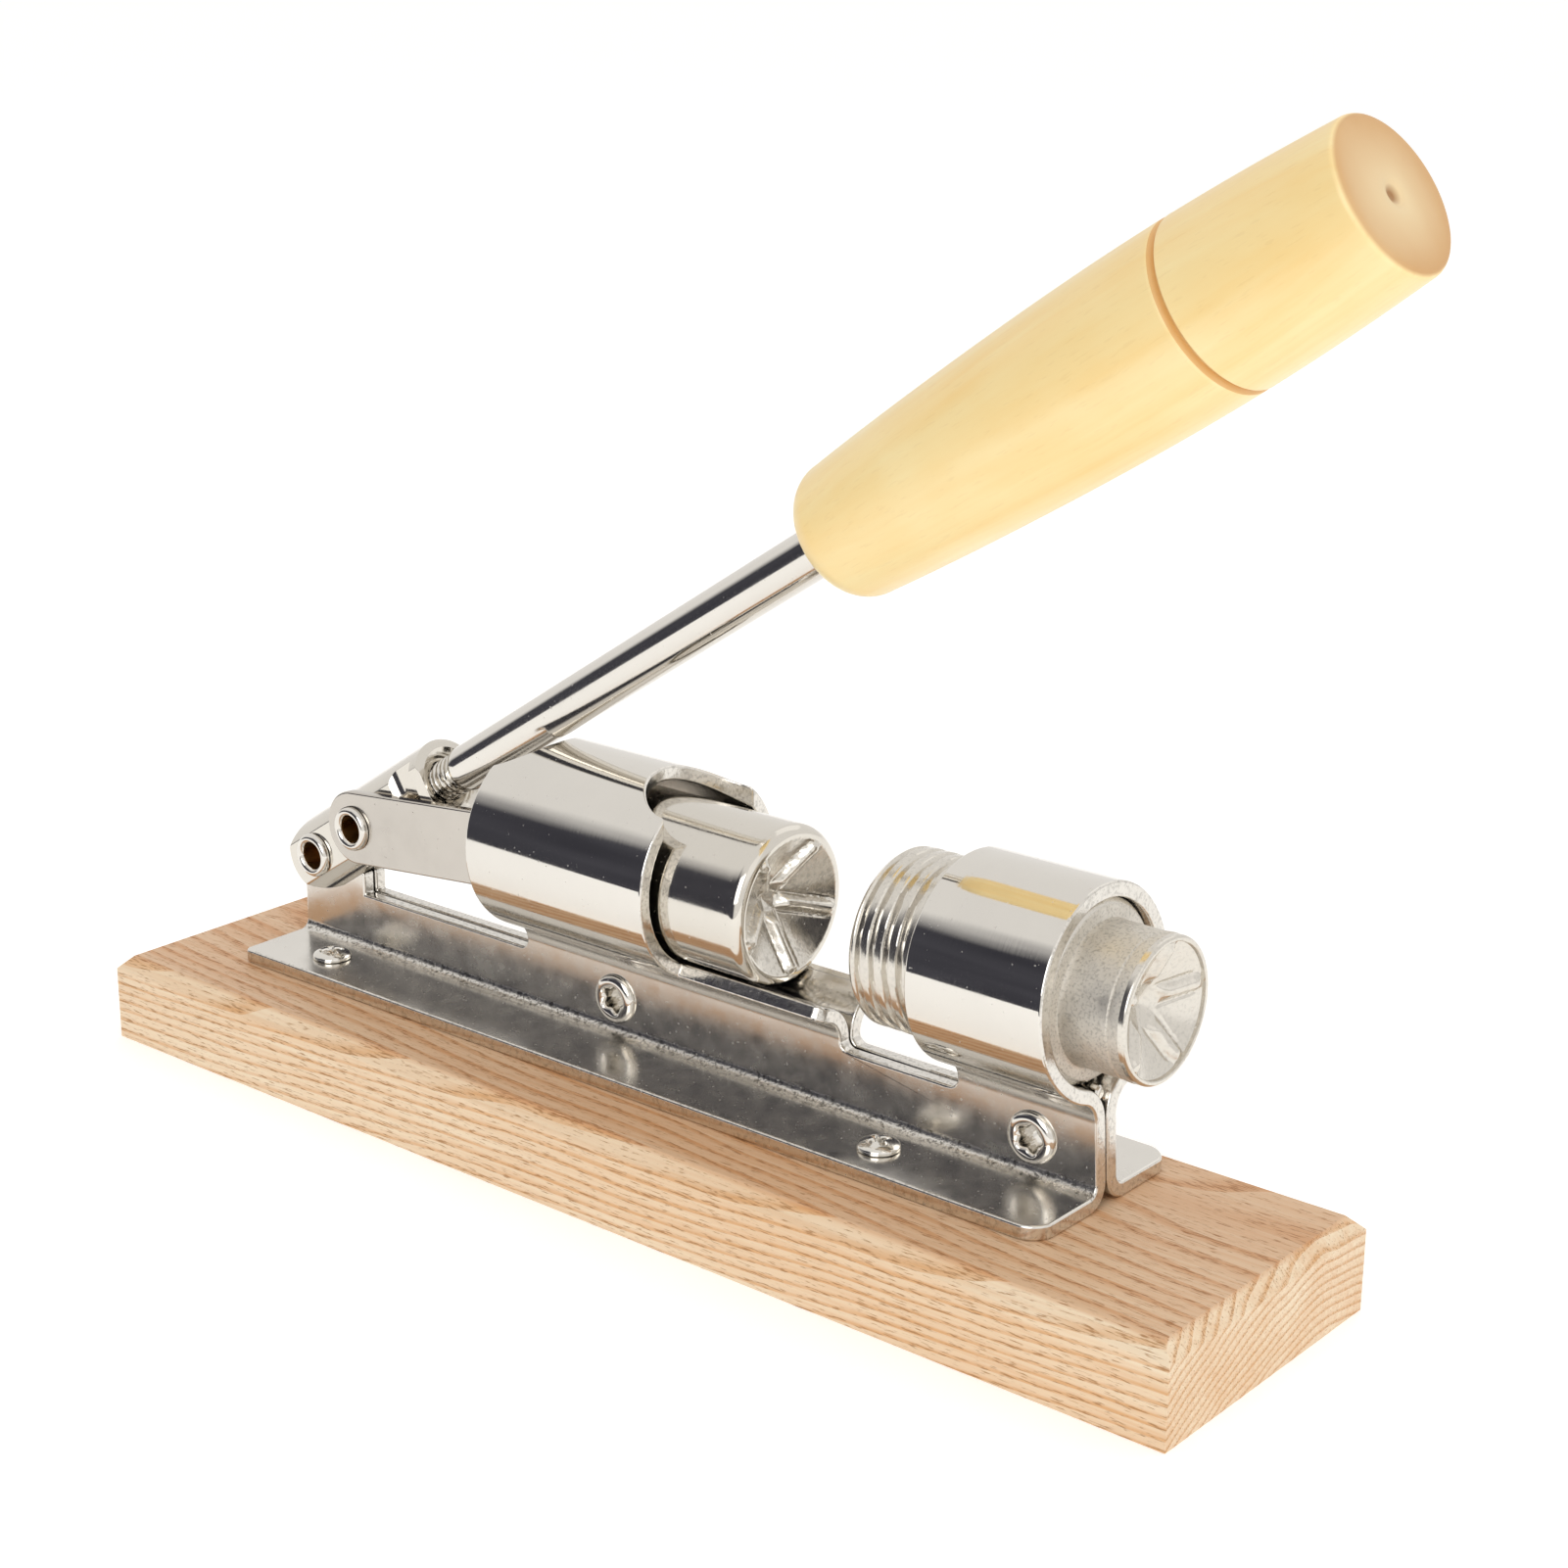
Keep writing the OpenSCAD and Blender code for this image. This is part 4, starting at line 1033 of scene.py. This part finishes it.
class NUTCRACKER_OT_anvil(bpy.types.Operator):
    """Anvil: coarse thread, large cup towards the ram, small blasted end with its own cup"""

    bl_idname = "nutcracker.anvil"
    bl_label = "Anvil"

    def execute(self, context):
        sizes = context.scene.nutcracker_sizes
        # radii of the thread's crest and of the small end, then the thread's and the whole length
        crest, small, thread, total = 14.5, 11.4, 37.1, (ANVIL_FRONT - ANVIL_BACK) / MM
        big_r, big_depth, small_r, small_depth, rows = 12.6, 6.5, 10.5, 5.8, 56
        profile = [(0, big_depth), *((big_r * i / rows, big_depth * (1 - i / rows)) for i in range(1, rows))]
        profile += [
            (big_r + 0.25, 0.0), (big_r + 0.9, 0.0), (big_r + 1.35, 0.3),
            *line((crest, 1.0), (crest, thread - 1.1), 190)
        ]
        profile += [
            (crest - 0.9, thread - 0.1), (crest - 1.2, thread), (small + 0.6, thread),
            (small + 0.15, thread + 0.2)
        ]
        profile += [
            (small, thread + 0.7), *line((small, thread + 1.2), (small, total - 3.4), 12),
            (small - 0.22, total - 3.15)
        ]
        profile += [
            (small - 0.22, total - 2.95), (small + 0.1, total - 2.7), (small + 0.14, total - 2.2),
            (small + 0.1, total - 1.2)
        ]
        profile += arc((small - 0.5, total - 0.6), 0.6, 4, 90, 7)
        profile += [(small_r + 0.25, total), (small_r + 0.1, total - 0.12), (small_r, total - 0.7)]
        last = len(profile)
        for i in range(1, rows):
            profile.append((small_r * (1 - i / rows), total - 0.7 - (small_depth - 0.7) * (i / rows) ** 0.95))
        profile.append((0, total - small_depth))
        made = turned("anvil_cast", profile, 216, cup=lambda i, r, z: i >= last)
        grow(
            made, thread_tree(), "nickel_casting", pitch=sizes.anvil_pitch, depth=1.0 * MM,
            wall_radius=crest * MM, start=0.9 * MM, end=(thread - 1.0) * MM, run_out=0.8 * MM
        )
        grow(
            made, rib_tree(), "nickel_casting", ribs=5, width=2.1 * MM, height=1.2 * MM,
            inner_radius=3.0 * MM, outer_radius=11.0 * MM, turn=math.radians(100), wander=0.3 * MM
        )
        finish_mesh(made, along_x(ANVIL_BACK, MID_Y, AXIS_Z), 38)
        keep(made, ["nickel_casting", "nickel_blasted_casting"], "anvil", "anvil_metal", "anvil")
        edge = ANVIL_BACK + (thread - 0.05) * MM
        rim = ANVIL_FRONT - 1.4 * MM
        for face in made.data.polygons:
            x, y, z = face.center
            if edge < x < rim and math.hypot(y - MID_Y, z - AXIS_Z) > 10.9 * MM:
                face.material_index = 1
        return {"FINISHED"}


class NUTCRACKER_OT_stage(bpy.types.Operator):
    """Pale floor, soft studio light and the camera at the photograph's angle"""

    bl_idname = "nutcracker.stage"
    bl_label = "Stage"

    def execute(self, context):
        scene = context.scene
        # a white table whose front edge shows as the end of the white in the barrels
        made, tree = new_material("studio_paper")
        # lit a little from below, as a light table is
        lit = {"Emission Color": (1.0, 1.0, 1.0, 1.0), "Emission Strength": 0.22}
        end_material(tree, {"Base Color": linear("#fdfdfc"), "Roughness": 0.9, **lit})
        floor = mesh_object(
            "floor", [(-12, -0.29, 0), (12, -0.29, 0), (12, 24, 0), (-12, 24, 0)], [(0, 1, 2, 3)]
        )
        floor.data.materials.append(made)
        # a bright room that gives the plating its contrast by one dark part on the camera's side
        world = bpy.data.worlds.new("studio")
        scene.world = world
        world.use_nodes = True
        tree = world.node_tree
        tree.nodes.clear()
        look = add(tree, "ShaderNodeTexCoord").outputs["Generated"]
        axes = add(tree, "ShaderNodeSeparateXYZ", {"Vector": look})
        # in front of the table it is dark up to the lower edge of a large lamp, which rises to the right
        edge = calc(tree, "MULTIPLY_ADD", axes.outputs["X"], 0.95, 1.12)
        lamp_edge = add(tree, "ShaderNodeClamp", {"Value": edge, "Min": 0.2, "Max": 0.7})
        below = calc(tree, "SUBTRACT", lamp_edge, axes.outputs["Z"])
        folds = noise(tree, look, (34.0, 5.0, 5.0), 3.0)
        shifted = calc(tree, "SUBTRACT", folds, 0.5)
        ragged = calc(tree, "MULTIPLY_ADD", shifted, 0.16, below)
        under = spread(tree, ragged, -0.09, 0.09)
        front = spread(tree, axes.outputs["Y"], -0.3, -0.12, 1.0, 0.0)
        left = spread(tree, axes.outputs["X"], 0.1, 0.3, 1.0, 0.0)
        side = calc(tree, "MULTIPLY", front, left)
        dark = calc(tree, "MULTIPLY", under, side)
        black, grey, white = (0.02, 0.02, 0.028, 1), (0.1, 0.1, 0.12, 1), (0.9, 0.885, 0.865, 1)
        gloom = mix(tree, folds, black, grey)
        room = mix(tree, dark, white, gloom)
        # seen straight on, the backdrop is plain and pale on every side
        straight = add(tree, "ShaderNodeLightPath").outputs["Is Camera Ray"]
        seen = mix(tree, straight, room, (1.0, 1.0, 1.0, 1))
        back = add(tree, "ShaderNodeBackground", {"Color": seen, "Strength": 1.0})
        add(tree, "ShaderNodeOutputWorld", {"Surface": back})
        aim = Vector((0, 0, 0.05))
        for name, place, size, power in (
            ("key", (0.3, -0.95, 0.55), 0.7, 4.0),
            ("fill", (0.95, -0.25, 0.75), 0.8, 0.4),
            ("back", (0.1, 1.0, 1.0), 0.9, 0.6),
        ):
            lamp = bpy.data.lights.new(name, "AREA")
            lamp.shape = "SQUARE"
            lamp.size = size
            lamp.energy = power
            holder = bpy.data.objects.new(name, lamp)
            holder.location = place
            holder.rotation_euler = (aim - Vector(place)).to_track_quat("-Z", "Y").to_euler()
            scene.collection.objects.link(holder)
        # camera fitted to the photograph, which is 1601 pixels square: lengths in mm, focal in pixels
        azimuth, elevation, roll = (math.radians(a) for a in (50.33, 17.74, 0.34))
        off_x, off_y, distance, focal = -17.99, -63.68, 489.48, 2942.23
        towards = Vector(
            (
                math.cos(azimuth) * math.cos(elevation), -math.sin(azimuth) * math.cos(elevation),
                math.sin(elevation)
            )
        )
        forward = -towards
        right = forward.cross(Vector((0, 0, 1))).normalized()
        up = right.cross(forward)
        right, up = math.cos(roll) * right + math.sin(roll) * up, math.cos(roll) * up - math.sin(roll) * right
        turn = Matrix((right, up, towards)).transposed().to_4x4()
        spot = -(off_x * right + off_y * up + distance * forward) * MM
        camera = bpy.data.cameras.new("photo_view")
        camera.sensor_width = 36.0
        camera.lens = 36.0 * focal / 1601
        camera.clip_start = 0.01
        holder = bpy.data.objects.new("photo_view", camera)
        holder.matrix_world = Matrix.Translation(spot) @ turn
        scene.collection.objects.link(holder)
        scene.camera = holder
        scene.view_settings.view_transform = "Standard"
        return {"FINISHED"}


class NUTCRACKER_PT_panel(bpy.types.Panel):
    """Sizes, finishes and pieces of the nutcracker"""

    bl_idname = "NUTCRACKER_PT_panel"
    bl_label = "Nutcracker"
    bl_space_type = "VIEW_3D"
    bl_region_type = "UI"
    bl_category = "Nutcracker"

    def draw(self, context):
        for name in NutcrackerSizes.__annotations__:
            self.layout.prop(context.scene.nutcracker_sizes, name)
        for name in NutcrackerFinish.__annotations__:
            self.layout.prop(context.scene.nutcracker_finish, name)
        for step in STEPS:
            self.layout.operator(step.bl_idname)


STEPS = (
    NUTCRACKER_OT_board,
    NUTCRACKER_OT_sheet_frame,
    NUTCRACKER_OT_flange_screws,
    NUTCRACKER_OT_rivets,
    NUTCRACKER_OT_neck_rod,
    NUTCRACKER_OT_yoke,
    NUTCRACKER_OT_rod,
    NUTCRACKER_OT_handle,
    NUTCRACKER_OT_links,
    NUTCRACKER_OT_ram,
    NUTCRACKER_OT_anvil,
    NUTCRACKER_OT_stage,
)
CLASSES = (NutcrackerSizes, NutcrackerFinish, *STEPS, NUTCRACKER_PT_panel)


def register():
    for item in CLASSES:
        bpy.utils.register_class(item)
    bpy.types.Scene.nutcracker_sizes = bpy.props.PointerProperty(type=NutcrackerSizes)
    bpy.types.Scene.nutcracker_finish = bpy.props.PointerProperty(type=NutcrackerFinish)


def unregister():
    del bpy.types.Scene.nutcracker_sizes
    del bpy.types.Scene.nutcracker_finish
    for item in reversed(CLASSES):
        bpy.utils.unregister_class(item)


def main():
    register()
    for step in STEPS:
        group, name = step.bl_idname.split(".")
        getattr(getattr(bpy.ops, group), name)()


if __name__ == "__main__":
    main()
